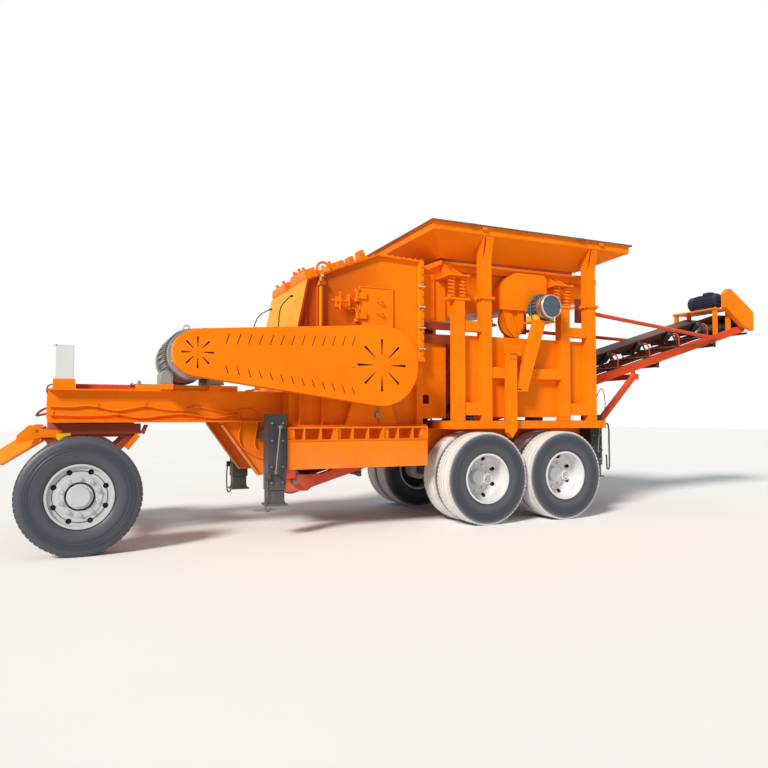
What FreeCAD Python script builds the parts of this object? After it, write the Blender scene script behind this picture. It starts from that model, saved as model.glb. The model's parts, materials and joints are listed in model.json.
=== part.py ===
"""Portable rock crusher: an impact crusher, its feeder and its conveyor on a wheeled chassis.

All sizes are in millimetres. X runs towards the discharge end of the conveyor, the near side
with the belt guard is at -Y, and Z is up from the ground. Lengths along X are measured from
the first rear axle, and save() moves every piece so that the origin is under the middle.
"""
import math
import os

import FreeCAD, Part

from FreeCAD import Vector

# Wheels
TYRE_DIAMETER = 1125.0
WHEEL_RADIUS = TYRE_DIAMETER / 2
TYRE_WIDTH = 310.0
TREAD_WIDTH = 250.0
BEAD_DIAMETER = 585.0
BEAD_SHARE = 0.36
RIM_FLANGE = 12.0
RIM_WALL = 10.0
DISC_THICKNESS = 14.0
DISC_FLAT_RADIUS = 205.0
HAND_HOLES = 8
HAND_HOLE_CIRCLE = 244.0
HAND_HOLE_RADIUS = 26.0
FRONT_DISC_REACH = 110.0
DUAL_SPACING = 350.0
WHEEL_OUTER_Y = 1250.0
AXLE_SPACING = 1170.0
FRONT_AXLE_X = -4500.0
HUB_DIAMETER = 300.0
HUB_LENGTH = 320.0
SPINDLE_DIAMETER = 100.0
AXLE_SIZE = 130.0
HANGER_HALF_GAP = 45.0
RUNNING_CLEARANCE = 0.3

# Chassis widths, and levels that rise with the wheels
RAIL_Y = 500.0
RAIL_FLANGE = 110.0
RAIL_BOTTOM = WHEEL_RADIUS + 257.5
RAIL_TOP = RAIL_BOTTOM + 340
RAIL_REAR_X = 2400.0
PLATE = 14.0
NECK_BOTTOM = RAIL_BOTTOM + 430
NECK_TOP = NECK_BOTTOM + 350
NECK_FRONT_X = -4820.0
NECK_REAR_X = -2370.0
NECK_FLANGE = 180.0
SLOPE_TOP_X = -3080.0
SLOPE_FOOT_X = -2640.0
SLOPE_FOOT_Z = RAIL_BOTTOM - 176
SILL_TOP = RAIL_TOP + 100
SILL_WIDTH = 110.0
GIRDER_FRONT_X = -2440.0
GIRDER_REAR_X = -700.0
GIRDER_BOTTOM = RAIL_BOTTOM - 92
GIRDER_TOP = GIRDER_BOTTOM + 469
GIRDER_OUTER_Y = 1000.0
GIRDER_WIDTH = 80.0

# Drive
MOTOR_BASE_HEIGHT = 55.0
MOTOR_SHAFT_HEIGHT = 315.0
MOTOR_X = -3430.0
MOTOR_RADIUS = 290.0
MOTOR_NEAR_Y = -900.0
MOTOR_FAR_Y = 240.0
GUARD_OUTER_Y = 1150.0
GUARD_DEPTH = 170.0
GUARD_SHEET = 6.0
GUARD_SMALL_RADIUS = 245.0
GUARD_LARGE_RADIUS = 465.0
STAR_SLOTS = 8
ROW_SLOTS = 13
FIRST_SLOT = 0.136
SLOT_PITCH = 0.057
ROTOR_X = -1370.0
ROTOR_Z = GIRDER_TOP + 703
ROTOR_RADIUS = 520.0
ROTOR_SHAFT_RADIUS = 70.0

# Crusher
CRUSHER_HALF_WIDTH = 750.0
CRUSHER_WALL = 30.0
CRUSHER_SPLIT_Z = ROTOR_Z + 110
CRUSHER_KNEE_Z = ROTOR_Z
CRUSHER_FRONT_X = -2360.0
CRUSHER_REAR_X = -640.0
CRUSHER_SHOULDER_X = -2160.0
CRUSHER_SHOULDER_Z = CRUSHER_SPLIT_Z + 890
CRUSHER_PEAK_X = -1270.0
CRUSHER_PEAK_Z = CRUSHER_SHOULDER_Z + 380
CRUSHER_REAR_Z = CRUSHER_PEAK_Z - 25
CRUSHER_FLANGE = 70.0
DOOR_FRONT_X = -1500.0
DOOR_REAR_X = -1050.0
DOOR_BOTTOM_Z = CRUSHER_SPLIT_Z + 390
DOOR_TOP_Z = DOOR_BOTTOM_Z + 480
DOOR_THICKNESS = 16.0
DOOR_PIN_RADIUS = 12.0
INLET_BOTTOM_Z = CRUSHER_SPLIT_Z + 50
INLET_TOP_Z = INLET_BOTTOM_Z + 890
INLET_HALF_WIDTH = 600.0

# Feeder pan and hopper, each level above the one before
PAN_HALF_WIDTH = 640.0
PAN_SHEET = 12.0
PAN_FRONT_X = -560.0
PAN_REAR_X = 2190.0
PAN_FRONT_Z = INLET_BOTTOM_Z + 485
PAN_REAR_Z = PAN_FRONT_Z + 440
PAN_TOP_Z = PAN_REAR_Z + 335
PAN_LIP_Z = PAN_TOP_Z - 95
HOPPER_SHEET = 12.0
HOPPER_FOOT_Z = PAN_TOP_Z + 25
HOPPER_FOOT_FRONT_X = -360.0
HOPPER_FOOT_REAR_X = 1830.0
HOPPER_FOOT_HALF_WIDTH = 700.0
HOPPER_RIM_Z = HOPPER_FOOT_Z + 365
HOPPER_BAND = 115.0
HOPPER_RIM_FRONT_X = -650.0
HOPPER_RIM_REAR_X = 2450.0
HOPPER_RIM_HALF_WIDTH = 1070.0
HOPPER_LIP = 30.0

# Feeder frame, posts named from the crusher backwards
FRAME_OUTER_Y = 1000.0
POST_DEPTH = 120.0
POST_WIDTH = 145.0
POST_A_X = -320.0
POST_B_X = POST_A_X + POST_WIDTH + 250
POST_C_X = 1310.0
POST_D_X = POST_C_X + POST_WIDTH + 300
SPRING_TOP = PAN_REAR_Z + 75
SPRING_HEIGHT = 270.0
SPRING_SEAT = 30.0
SPRING_RADIUS = 50.0
SPRING_OFFSET = 80.0
SEAT_HALF_LENGTH = 150.0
SPRING_POST_TOP = SPRING_TOP - SPRING_HEIGHT - SPRING_SEAT
SPLICE_Z = PAN_FRONT_Z + 255
SPLICE_PLATE = 13.0
BEAM_LOW = SILL_TOP + 70
BEAM_LOW_TOP = BEAM_LOW + 160
BEAM_HIGH = PAN_FRONT_Z - 165
BEAM_HIGH_TOP = BEAM_HIGH + 130
BEAM_MIDDLE = BEAM_HIGH - 580
BEAM_MIDDLE_TOP = BEAM_MIDDLE + 140
PANEL_GAP = 45.0

# Feeder drive
EXCITER_GUARD_X = 450.0
EXCITER_GUARD_LENGTH = 755.0
EXCITER_GUARD_Y = 840.0
FEED_MOTOR_X = 1000.0
FEED_MOTOR_Z = PAN_FRONT_Z + 190
FEED_MOTOR_RADIUS = 140.0
STAND_X = 405.0
STAND_WIDTH = 130.0
STAND_DEPTH = 90.0

# Conveyor, a straight slope with a level tail
BELT_SLOPE = 0.30
STRINGER_Z = RAIL_BOTTOM + 240
STRINGER_HEIGHT = 120.0
STRINGER_WIDTH = 60.0
CONVEYOR_HALF_WIDTH = 420.0
TAIL_FRAME_X = -2330.0
TAIL_BEND_X = -1960.0
TAIL_FRAME_HEIGHT = 190.0
CONVEYOR_TAIL_X = -2203.0
CONVEYOR_HEAD_X = 5540.0
DRUM_RADIUS = 140.0
DRUM_SHAFT_RADIUS = 30.0
BELT_RISE = 290.0
BELT_HALF_WIDTH = 325.0
BELT_FLAT = 120.0
TROUGH_ANGLE = 35.0
BELT_THICKNESS = 12.0
IDLER_RADIUS = 44.0
IDLER_COUNT = 11
TIE_COUNT = 6
TIE_PITCH = 1200.0
BRIDGE_LENGTH = 390.0
BRIDGE_BACK = 640.0
BRIDGE_RISE = 420.0
BRIDGE_PLATE = 25.0
HEAD_MOTOR_RADIUS = 118.0
HEAD_MOTOR_RISE = 165.0

# Support legs
LEG_FRONT_X = -2560.0
LEG_REAR_X = POST_D_X + POST_WIDTH + 190
LEG_FRONT_Y = 930.0
LEG_REAR_Y = 665.0
LEG_HOUSING_SIZE = 200.0
LEG_WALL = 12.0
LEG_CLEARANCE = 0.5
LEG_HOUSING_LOW = 170.0
LEG_FRONT_FOOT_Z = 350.0
LEG_REAR_FOOT_Z = 470.0
LEG_FOOT_SIZE = 235.0
LEG_HOUSING_TOP = SILL_TOP + 80

# Dolly and tow arm
KINGPIN_X = -4400.0
TURNTABLE_RADIUS = 440.0
TURNTABLE_PLATE = 35.0
KINGPIN_RADIUS = 40.0
DOLLY_BEAM = 80.0
DOLLY_HALF_WIDTH = 480.0
DOLLY_STRUT = 70.0
TOW_TIP_X = -5400.0
TOW_EYE_Z = 870.0
TOW_EYE_RADIUS = 75.0
TOW_EYE_BORE = 50.0
TOW_EYE_HEIGHT = 80.0
TOW_ARM_WIDTH = 60.0
TOW_ARM_HEIGHT = 150.0

HEAD_END_X = CONVEYOR_HEAD_X + DRUM_RADIUS + BELT_THICKNESS
MIDDLE_X = (TOW_TIP_X + HEAD_END_X) / 2
MOTOR_Z = NECK_TOP + MOTOR_BASE_HEIGHT + MOTOR_SHAFT_HEIGHT
BASE = Vector(0, 0, 0)


def box(x0, x1, y0, y1, z0, z1):
    return Part.makeBox(x1 - x0, y1 - y0, z1 - z0, Vector(x0, y0, z0))


def side_plate(points, y0, y1):
    """A plate of the given (x, z) outline between two values of y."""
    wire = Part.makePolygon([Vector(x, y0, z) for x, z in points + points[:1]])
    return Part.Face(wire).extrude(Vector(0, y1 - y0, 0))


def end_plate(points, x0, x1):
    """A plate of the given (y, z) outline between two values of x."""
    wire = Part.makePolygon([Vector(x0, y, z) for y, z in points + points[:1]])
    return Part.Face(wire).extrude(Vector(x1 - x0, 0, 0))


def rod(start, end, radius):
    a, b = Vector(*start), Vector(*end)
    return Part.makeCylinder(radius, (b - a).Length, a, b - a)


def cross_rod(x, z, y0, y1, radius):
    return rod((x, y0, z), (x, y1, z), radius)


def bar(start, end, width, height):
    """A straight bar of rectangular section; height is measured across the run, upwards."""
    a, b = Vector(*start), Vector(*end)
    run = b - a
    side = Vector(0, 0, 1).cross(run)
    if side.Length < 1:
        side = Vector(0, 1, 0)
    side.normalize()
    up = run.cross(side)
    up.normalize()
    corners = [a + side * (s * width / 2) + up * (t * height / 2)
               for s, t in ((-1, -1), (1, -1), (1, 1), (-1, 1))]
    return Part.Face(Part.makePolygon(corners + corners[:1])).extrude(run)


def turned(profile, x, z):
    """A solid of revolution about a cross axis; the profile is a list of (y, radius)."""
    wire = Part.makePolygon([Vector(x, y, z + r) for y, r in profile + profile[:1]])
    return Part.Face(wire).revolve(Vector(x, 0, z), Vector(0, 1, 0), 360)


def joined(shapes):
    result = shapes[0]
    if len(shapes) > 1:
        result = result.fuse(shapes[1:])
    return result.removeSplitter()


def mirrored(shape):
    return shape.mirror(BASE, Vector(0, 1, 0))


def both_sides(shapes):
    return shapes + [mirrored(shape) for shape in shapes]


def save(name, shapes):
    shape = shapes[0] if len(shapes) == 1 else Part.makeCompound(shapes)
    shape = shape.copy()
    shape.translate(Vector(-MIDDLE_X, 0, 0))
    shape.exportStep(f"parts/{name}.step")


def conveyor_z(x):
    """The lower edge of the conveyor's stringers."""
    return STRINGER_Z + BELT_SLOPE * x


# Wheels and axles

def tyre(x, y):
    """One tyre, centred on the plane y."""
    tread, wall, bead = TREAD_WIDTH / 2, TYRE_WIDTH / 2, TYRE_WIDTH * BEAD_SHARE
    outer, inner = TYRE_DIAMETER / 2, BEAD_DIAMETER / 2
    half = [(bead, inner), (wall, inner + 0.45 * (outer - inner)), (wall - 6, outer - 75),
            (tread, outer - 8), (tread - 30, outer)]
    profile = [(y + w, r) for w, r in half] + [(y - w, r) for w, r in reversed(half)]
    return turned(profile, x, WHEEL_RADIUS)


def rim(x, y, reach):
    """A rim whose disc is dished from the barrel to its bolting face at reach from the middle."""
    inner = BEAD_DIAMETER / 2
    seat, flange = TYRE_WIDTH * BEAD_SHARE, RIM_FLANGE
    half = [(seat, inner), (seat + 10, inner), (seat + 10, inner + flange), (seat + 20, inner + flange),
            (seat + 20, inner - RIM_WALL)]
    profile = [(y + w, r) for w, r in half] + [(y - w, r) for w, r in reversed(half)]
    barrel = turned(profile, x, WHEEL_RADIUS)
    out = 1 if reach > 0 else -1
    face, edge = y + reach, y + out * (seat - 5)
    skin = out * DISC_THICKNESS
    disc = turned([(face, 0), (face, DISC_FLAT_RADIUS), (edge, inner - RIM_WALL),
                   (edge - skin, inner - RIM_WALL), (face - skin, DISC_FLAT_RADIUS - 4), (face - skin, 0)],
                  x, WHEEL_RADIUS)
    return joined([barrel, disc.cut(hand_holes(x, y))])


def hand_holes(x, y):
    """Cutters for the round holes in a disc, by which a wheel is lifted and cooled."""
    cutters = []
    for i in range(HAND_HOLES):
        angle = 2 * math.pi * (i + 0.5) / HAND_HOLES
        place = x + HAND_HOLE_CIRCLE * math.cos(angle), WHEEL_RADIUS + HAND_HOLE_CIRCLE * math.sin(angle)
        cutters.append(cross_rod(*place, y - TYRE_WIDTH, y + TYRE_WIDTH, HAND_HOLE_RADIUS))
    return cutters


def wheel(name, x, side, dual):
    """The tyres and the rims of one hub, which turn together."""
    outer = side * (WHEEL_OUTER_Y - TYRE_WIDTH / 2)
    inner = outer - side * DUAL_SPACING
    centres = [outer, inner] if dual else [outer]
    save(f"{name}_tyre" + ("s" if dual else ""), [tyre(x, y) for y in centres])
    seat = (outer + inner) / 2 if dual else outer + side * FRONT_DISC_REACH
    rims = [rim(x, y, seat - y) for y in centres]
    root = abs(inner) - TYRE_WIDTH / 2 - 25 if dual else abs(seat) - HUB_LENGTH
    hub = cross_rod(x, WHEEL_RADIUS, min(side * root, seat), max(side * root, seat), HUB_DIAMETER / 2)
    cap_end = seat + side * (110 if dual else 45)
    seat -= side * (DISC_THICKNESS + 10 if not dual else 0)
    cap = cross_rod(x, WHEEL_RADIUS, min(seat, cap_end), max(seat, cap_end), HUB_DIAMETER * 0.3)
    bore = cross_rod(x, WHEEL_RADIUS, min(side * (root - 1), seat), max(side * (root - 1), seat),
                     SPINDLE_DIAMETER / 2 + RUNNING_CLEARANCE)
    save(f"{name}_rim" + ("s" if dual else ""), [joined(rims + [hub, cap]).cut(bore)])
    return abs(root)


def axle(x, root, reach):
    """A square beam with a spindle at each end that enters the hubs."""
    beam = box(x - AXLE_SIZE / 2, x + AXLE_SIZE / 2, -(root - 6), root - 6,
               WHEEL_RADIUS - AXLE_SIZE / 2, WHEEL_RADIUS + AXLE_SIZE / 2)
    spindle = cross_rod(x, WHEEL_RADIUS, -reach, reach, SPINDLE_DIAMETER / 2)
    return joined([beam, spindle])


def leaf_spring(x, y, middle_z, length, rise, width, leaves=5, leaf=14):
    """A pack of stepped leaves, bent up at the ends, on top of the axle."""
    shapes = []
    for i in range(leaves):
        half = length / 2 * (1 - 0.16 * i)
        lift = rise * (half / (length / 2)) ** 2
        z = middle_z - i * leaf
        a, b, c = Vector(x - half, y, z + lift), Vector(x, y, z), Vector(x + half, y, z + lift)
        edge = Part.Arc(a, b, c).toShape()
        top = edge.copy()
        top.translate(Vector(0, 0, leaf))
        ends = [Part.LineSegment(c, c + Vector(0, 0, leaf)).toShape(),
                Part.LineSegment(a + Vector(0, 0, leaf), a).toShape()]
        face = Part.Face(Part.Wire([edge, ends[0], top, ends[1]]))
        face.translate(Vector(0, -width / 2, 0))
        shapes.append(face.extrude(Vector(0, width, 0)))
    return joined(shapes)


def running_gear():
    rows = (("rear_wheel_a", 0.0), ("rear_wheel_b", AXLE_SPACING))
    sides = (("near", -1), ("far", 1))
    root = 0
    for name, x in rows:
        for side_name, side in sides:
            root = wheel(f"{name}_{side_name}", x, side, True)
    seat = WHEEL_OUTER_Y - TYRE_WIDTH / 2 - DUAL_SPACING / 2
    save("rear_axles", [axle(x, root, seat - 2) for name, x in rows])
    for side_name, side in sides:
        front_root = wheel(f"front_wheel_{side_name}", FRONT_AXLE_X, side, False)
    front_seat = WHEEL_OUTER_Y - TYRE_WIDTH / 2 + FRONT_DISC_REACH - DISC_THICKNESS - 12
    save("dolly_axle", [axle(FRONT_AXLE_X, front_root, front_seat)])

    top = WHEEL_RADIUS + AXLE_SIZE / 2
    leaf, leaves = 14, 5
    middle = top + leaf * (leaves - 1)
    springs = []
    for name, x in rows:
        width = 2 * (HANGER_HALF_GAP - RUNNING_CLEARANCE)
        pack = leaf_spring(x, -RAIL_Y, middle, AXLE_SPACING - 90, 90, width)
        springs.append(pack)
    hangers = []
    hanger_x = (-AXLE_SPACING / 2, AXLE_SPACING / 2, AXLE_SPACING * 1.5)
    for x in hanger_x:
        outline = [(x - 110, RAIL_BOTTOM), (x + 110, RAIL_BOTTOM), (x + 50, middle + 20), (x - 50, middle + 20)]
        gap = HANGER_HALF_GAP
        hangers += [side_plate(outline, -RAIL_Y - gap - 10, -RAIL_Y - gap),
                    side_plate(outline, -RAIL_Y + gap, -RAIL_Y + gap + 10)]
        hangers.append(cross_rod(x, middle + 75, -RAIL_Y - gap, -RAIL_Y + gap, 18))
    save("rear_springs", both_sides(springs))
    save("spring_hangers", both_sides([joined(hangers[i:i + 3]) for i in range(0, len(hangers), 3)]))


# Chassis

def i_beam(x0, x1, y, z0, z1, flange, web=PLATE, thickness=18):
    return joined([box(x0, x1, y - flange / 2, y + flange / 2, z0, z0 + thickness),
                   box(x0, x1, y - web / 2, y + web / 2, z0 + thickness, z1 - thickness),
                   box(x0, x1, y - flange / 2, y + flange / 2, z1 - thickness, z1)])


def gooseneck():
    """Two high beams over the dolly, tied by cross beams."""
    beams = [i_beam(NECK_FRONT_X, NECK_REAR_X, s * RAIL_Y, NECK_BOTTOM, NECK_TOP, NECK_FLANGE)
             for s in (-1, 1)]
    inner = RAIL_Y - PLATE / 2
    ties = [box(x, x + 120, -inner, inner, NECK_BOTTOM + 40, NECK_TOP - 60)
            for x in (NECK_FRONT_X, FRONT_AXLE_X - 330, FRONT_AXLE_X + 210, SLOPE_TOP_X - 420,
                      SLOPE_TOP_X + 180)]
    save("gooseneck_frame", [joined(beams + ties)])


def slope_web(y):
    """The sloping web that carries the gooseneck down to the rails."""
    joint = NECK_REAR_X + 30
    outline = [(SLOPE_TOP_X, NECK_BOTTOM), (SLOPE_FOOT_X, SLOPE_FOOT_Z), (SLOPE_FOOT_X + 230, SLOPE_FOOT_Z),
               (joint, RAIL_BOTTOM), (joint, RAIL_TOP), (NECK_REAR_X, RAIL_TOP), (NECK_REAR_X, NECK_BOTTOM)]
    return side_plate(outline, y - PLATE / 2, y + PLATE / 2)


def main_rails():
    """The lower rails with the sloping webs that carry the gooseneck."""
    rails = []
    for s in (-1, 1):
        y = s * RAIL_Y
        flange = bar((SLOPE_TOP_X + 20, y, NECK_BOTTOM - 27), (SLOPE_FOOT_X, y, SLOPE_FOOT_Z), 120, 14)
        flange = flange.cut(box(SLOPE_TOP_X - 200, NECK_REAR_X, -800, 800, NECK_BOTTOM, NECK_TOP))
        beam = i_beam(NECK_REAR_X + 30, RAIL_REAR_X, y, RAIL_BOTTOM, RAIL_TOP, RAIL_FLANGE)
        rails.append(joined([slope_web(y), flange, beam]))
    save("main_rails", rails)


def cross_beams():
    """Beams between the rails, kept under or behind the conveyor."""
    inner = RAIL_Y - PLATE / 2
    rows = ((60, 40, 200), (590, 60, 220), (1700, 60, 260), (2280, 60, 260))
    save("cross_beams", [box(x, x + 120, -inner, inner, RAIL_BOTTOM + low, RAIL_BOTTOM + high)
                         for x, low, high in rows])


def side_sills():
    """Sills over the wheels that carry the feeder posts, on outriggers from the rails."""
    outer = FRAME_OUTER_Y
    shapes = [box(POST_A_X - 60, RAIL_REAR_X - 350, -outer, -outer + SILL_WIDTH, RAIL_TOP, SILL_TOP)]
    start = RAIL_Y - RAIL_FLANGE / 2
    for x in (POST_A_X - 60, POST_B_X, 590, POST_C_X - 60, POST_D_X + 20):
        shapes.append(box(x, x + 120, -outer + SILL_WIDTH, -start, RAIL_TOP, SILL_TOP))
    sill = joined(shapes)
    save("wheel_sills", both_sides([sill]))


def side_girders():
    """Deep ribbed girders beside the crusher, joined to the rails under its base."""
    outer, inner = GIRDER_OUTER_Y, GIRDER_OUTER_Y - GIRDER_WIDTH
    x0, x1 = GIRDER_FRONT_X, GIRDER_REAR_X
    web_top = GIRDER_BOTTOM + 325
    shapes = [box(x0, x1, -outer + 8, -outer + 20, GIRDER_BOTTOM, web_top),
              box(x0, x1, -outer, -inner, web_top - 14, web_top),
              box(x0, x1, -outer, -RAIL_Y + RAIL_FLANGE / 2, GIRDER_TOP - 18, GIRDER_TOP)]
    ribs = 10
    for i in range(ribs):
        x = x0 + (x1 - x0 - 14) * i / (ribs - 1)
        shapes.append(box(x, x + 14, -outer, -inner, web_top, GIRDER_TOP - 18))
    for x in (x0, x0 + 540, x0 + 1140, x1 - 90):
        shapes.append(box(x, x + 90, -inner, -RAIL_Y - RAIL_FLANGE / 2, RAIL_TOP - 100, GIRDER_TOP - 18))
        shapes.append(box(x, x + 90, -outer + 20, -inner, web_top, GIRDER_TOP - 18))
    seat = box(NECK_REAR_X + 30, x1, -RAIL_Y - RAIL_FLANGE / 2, -RAIL_Y + RAIL_FLANGE / 2,
               RAIL_TOP, GIRDER_TOP - 18)
    shapes.append(seat)
    girder = joined(shapes).cut(slope_web(-RAIL_Y))
    save("side_girders", both_sides([girder]))


def front_post():
    y = -RAIL_Y
    x0, x1, top = NECK_FRONT_X + 20, NECK_FRONT_X + 240, NECK_TOP + 450
    base = box(x0 - 15, x1 + 15, y - 100, y + 100, NECK_TOP, NECK_TOP + 60)
    flanges = [box(x, x + 12, y - 90, y + 90, NECK_TOP + 60, top) for x in (x0, x1 - 12)]
    web = box(x0 + 12, x1 - 12, y - 6, y + 6, NECK_TOP + 60, top)
    save("front_post", [joined([base, web] + flanges)])


# Crusher drive

def drive():
    z = MOTOR_Z
    top = NECK_TOP + MOTOR_BASE_HEIGHT
    rails = [box(MOTOR_X - 550, MOTOR_X + 530, y - 70, y + 70, NECK_TOP, top)
             for y in (-RAIL_Y, RAIL_Y)]
    feet_y = (-700.0, 40.0)
    ties = [box(MOTOR_X + dx - 60, MOTOR_X + dx + 60, -RAIL_Y + 70, RAIL_Y - 70, NECK_TOP, top)
            for dx in (-250, 250)]
    out = [box(MOTOR_X + dx - 60, MOTOR_X + dx + 60, feet_y[0] - 60, -RAIL_Y - 70, NECK_TOP, top)
           for dx in (-250, 250)]
    save("motor_base", [joined(rails + ties + out)])

    body = cross_rod(MOTOR_X, z, MOTOR_NEAR_Y + 90, MOTOR_FAR_Y - 160, MOTOR_RADIUS - 30)
    cowl = cross_rod(MOTOR_X, z, MOTOR_FAR_Y - 160, MOTOR_FAR_Y, MOTOR_RADIUS - 6)
    bell = cross_rod(MOTOR_X, z, MOTOR_NEAR_Y, MOTOR_NEAR_Y + 90, MOTOR_RADIUS - 20)
    fins = []
    for i in range(28):
        angle = 2 * math.pi * i / 28
        if math.sin(angle) < -0.75:
            continue
        root, tip = MOTOR_RADIUS - 45, MOTOR_RADIUS
        a = (MOTOR_X + root * math.cos(angle), MOTOR_NEAR_Y + 110, z + root * math.sin(angle))
        b = (MOTOR_X + tip * math.cos(angle), MOTOR_NEAR_Y + 110, z + tip * math.sin(angle))
        across = Vector(-math.sin(angle), 0, math.cos(angle)) * 4
        corners = [Vector(*a) - across, Vector(*b) - across, Vector(*b) + across, Vector(*a) + across]
        length = MOTOR_FAR_Y - 180 - MOTOR_NEAR_Y - 110
        fins.append(Part.Face(Part.makePolygon(corners + corners[:1])).extrude(Vector(0, length, 0)))
    feet = [box(MOTOR_X + s * 235 - 45, MOTOR_X + s * 235 + 45, feet_y[0] - 30, feet_y[1] - 10, top, top + 150)
            for s in (-1, 1)]
    shaft = cross_rod(MOTOR_X, z, -GUARD_OUTER_Y + 30, MOTOR_NEAR_Y, 45)
    junction = box(MOTOR_X + 150, MOTOR_X + 330, -560, -300, z + 140, z + 330)
    save("drive_motor", [joined([body, cowl, bell, shaft, junction] + fins + feet)])

    small, large = 150.0, 360.0
    pulleys = []
    for x, pz, radius, shaft_radius in ((MOTOR_X, z, small, 45), (ROTOR_X, ROTOR_Z, large, ROTOR_SHAFT_RADIUS)):
        sheave = cross_rod(x, pz, -GUARD_OUTER_Y + 30, -GUARD_OUTER_Y + 130, radius)
        hole = cross_rod(x, pz, -GUARD_OUTER_Y, -GUARD_OUTER_Y + 200, shaft_radius)
        pulleys.append(sheave.cut(hole))
    save("drive_pulleys", pulleys)


def capsule(x0, z0, r0, x1, z1, r1):
    """The outline round two circles, with its straight runs tangent to both."""
    run = math.hypot(x1 - x0, z1 - z0)
    lean = math.atan2(z1 - z0, x1 - x0)
    tip = math.acos((r0 - r1) / run)

    def point(x, z, r, angle):
        return Vector(x + r * math.cos(angle), 0, z + r * math.sin(angle))

    a, b = point(x0, z0, r0, lean + tip), point(x1, z1, r1, lean + tip)
    c, d = point(x1, z1, r1, lean - tip), point(x0, z0, r0, lean - tip)
    far, near = point(x1, z1, r1, lean), point(x0, z0, r0, lean + math.pi)
    return Part.Wire([Part.LineSegment(a, b).toShape(), Part.Arc(b, far, c).toShape(),
                      Part.LineSegment(c, d).toShape(), Part.Arc(d, near, a).toShape()])


def guard_slots():
    """Cutters for the guard's front: a star of wedges over each pulley, and two rows between."""
    y0, y1 = -GUARD_OUTER_Y - 5, -GUARD_OUTER_Y + GUARD_SHEET + 5
    cutters = []
    for x, z, root, tip, wide in ((MOTOR_X, MOTOR_Z, 60, 155, 9), (ROTOR_X, ROTOR_Z, 115, 290, 13)):
        for i in range(STAR_SLOTS):
            angle = 2 * math.pi * i / STAR_SLOTS
            along = Vector(math.cos(angle), 0, math.sin(angle))
            side = Vector(-along.z, 0, along.x)
            centre = Vector(x, y0, z)
            corners = [centre + along * root - side * 3, centre + along * tip - side * wide,
                       centre + along * tip + side * wide, centre + along * root + side * 3]
            cutters.append(Part.Face(Part.makePolygon(corners + corners[:1])).extrude(Vector(0, y1 - y0, 0)))
            cutters.append(rod(centre + along * tip, centre + along * tip + Vector(0, y1 - y0, 0), wide))
    run = ROTOR_X - MOTOR_X
    for i in range(ROW_SLOTS):
        share = FIRST_SLOT + SLOT_PITCH * i
        x = MOTOR_X + share * run
        level = MOTOR_Z + share * (ROTOR_Z - MOTOR_Z)
        half = GUARD_SMALL_RADIUS + share * (GUARD_LARGE_RADIUS - GUARD_SMALL_RADIUS)
        for side, foot, growth, rise, lean in ((1, 0.37, 0.11, 108, 36), (-1, 0.40, 0.29, 80, 27)):
            low = level + side * half * (foot + growth * share)
            high = low + side * rise
            cutters.append(side_plate([(x, low), (x + 9, low), (x + lean + 9, high), (x + lean, high)], y0, y1))
    return cutters


def belt_guard():
    """A flat capsule of sheet, open at the back, with slots that show the pulleys."""
    def block(grow, y0, y1):
        wire = capsule(MOTOR_X, MOTOR_Z, GUARD_SMALL_RADIUS + grow, ROTOR_X, ROTOR_Z, GUARD_LARGE_RADIUS + grow)
        face = Part.Face(wire)
        face.translate(Vector(0, y0, 0))
        return face.extrude(Vector(0, y1 - y0, 0))

    outer = block(0, -GUARD_OUTER_Y, -GUARD_OUTER_Y + GUARD_DEPTH)
    inner = block(-GUARD_SHEET, -GUARD_OUTER_Y + GUARD_SHEET, -GUARD_OUTER_Y + GUARD_DEPTH - GUARD_SHEET)
    back_holes = [cross_rod(MOTOR_X, MOTOR_Z, -GUARD_OUTER_Y + 100, -800, 60),
                  cross_rod(ROTOR_X, ROTOR_Z, -GUARD_OUTER_Y + 100, -800, 90)]
    shell = outer.cut([inner] + back_holes + guard_slots())
    y1 = -GUARD_OUTER_Y + GUARD_DEPTH
    foot_x = MOTOR_X + 630
    foot = box(foot_x, foot_x + 60, y1, -RAIL_Y, NECK_TOP, NECK_TOP + 12)
    upright = box(foot_x, foot_x + 60, y1, y1 + 12, NECK_TOP + 12, NECK_TOP + 260)
    save("belt_guard", [joined([shell, foot, upright])])


# Crusher

def crusher_outline():
    return [(CRUSHER_FRONT_X, GIRDER_TOP), (CRUSHER_FRONT_X, CRUSHER_KNEE_Z),
            (CRUSHER_SHOULDER_X, CRUSHER_SHOULDER_Z),
            (CRUSHER_PEAK_X, CRUSHER_PEAK_Z), (CRUSHER_REAR_X, CRUSHER_REAR_Z), (CRUSHER_REAR_X, GIRDER_TOP)]


def inset_outline(points, wall):
    """The same convex outline moved inwards by the wall."""
    face = Part.Face(Part.makePolygon([Vector(x, 0, z) for x, z in points + points[:1]]))
    wire = face.makeOffset2D(-wall, 2).OuterWire
    return [(v.Point.x, v.Point.z) for v in wire.OrderedVertexes]


def split_flanges(z):
    """Flange strips along the split, on both sides of the bearing."""
    w = CRUSHER_HALF_WIDTH
    lean = (CRUSHER_SHOULDER_X - CRUSHER_FRONT_X) / (CRUSHER_SHOULDER_Z - CRUSHER_KNEE_Z)
    front = CRUSHER_FRONT_X + lean * (z + 20 - CRUSHER_KNEE_Z)
    return [box(front, ROTOR_X - 190, -w - CRUSHER_FLANGE, -w, z, z + 20),
            box(ROTOR_X + 190, CRUSHER_REAR_X, -w - CRUSHER_FLANGE, -w, z, z + 20)]


def wall_recess():
    """A shallow cut in both side walls behind the front edge."""
    w, depth = CRUSHER_HALF_WIDTH, 15
    x0, x1 = CRUSHER_SHOULDER_X + 20, CRUSHER_SHOULDER_X + 140
    near = box(x0, x1, -w - 1, -w + depth, CRUSHER_SPLIT_Z + 40, CRUSHER_SHOULDER_Z - 30)
    return both_sides([near])


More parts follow.
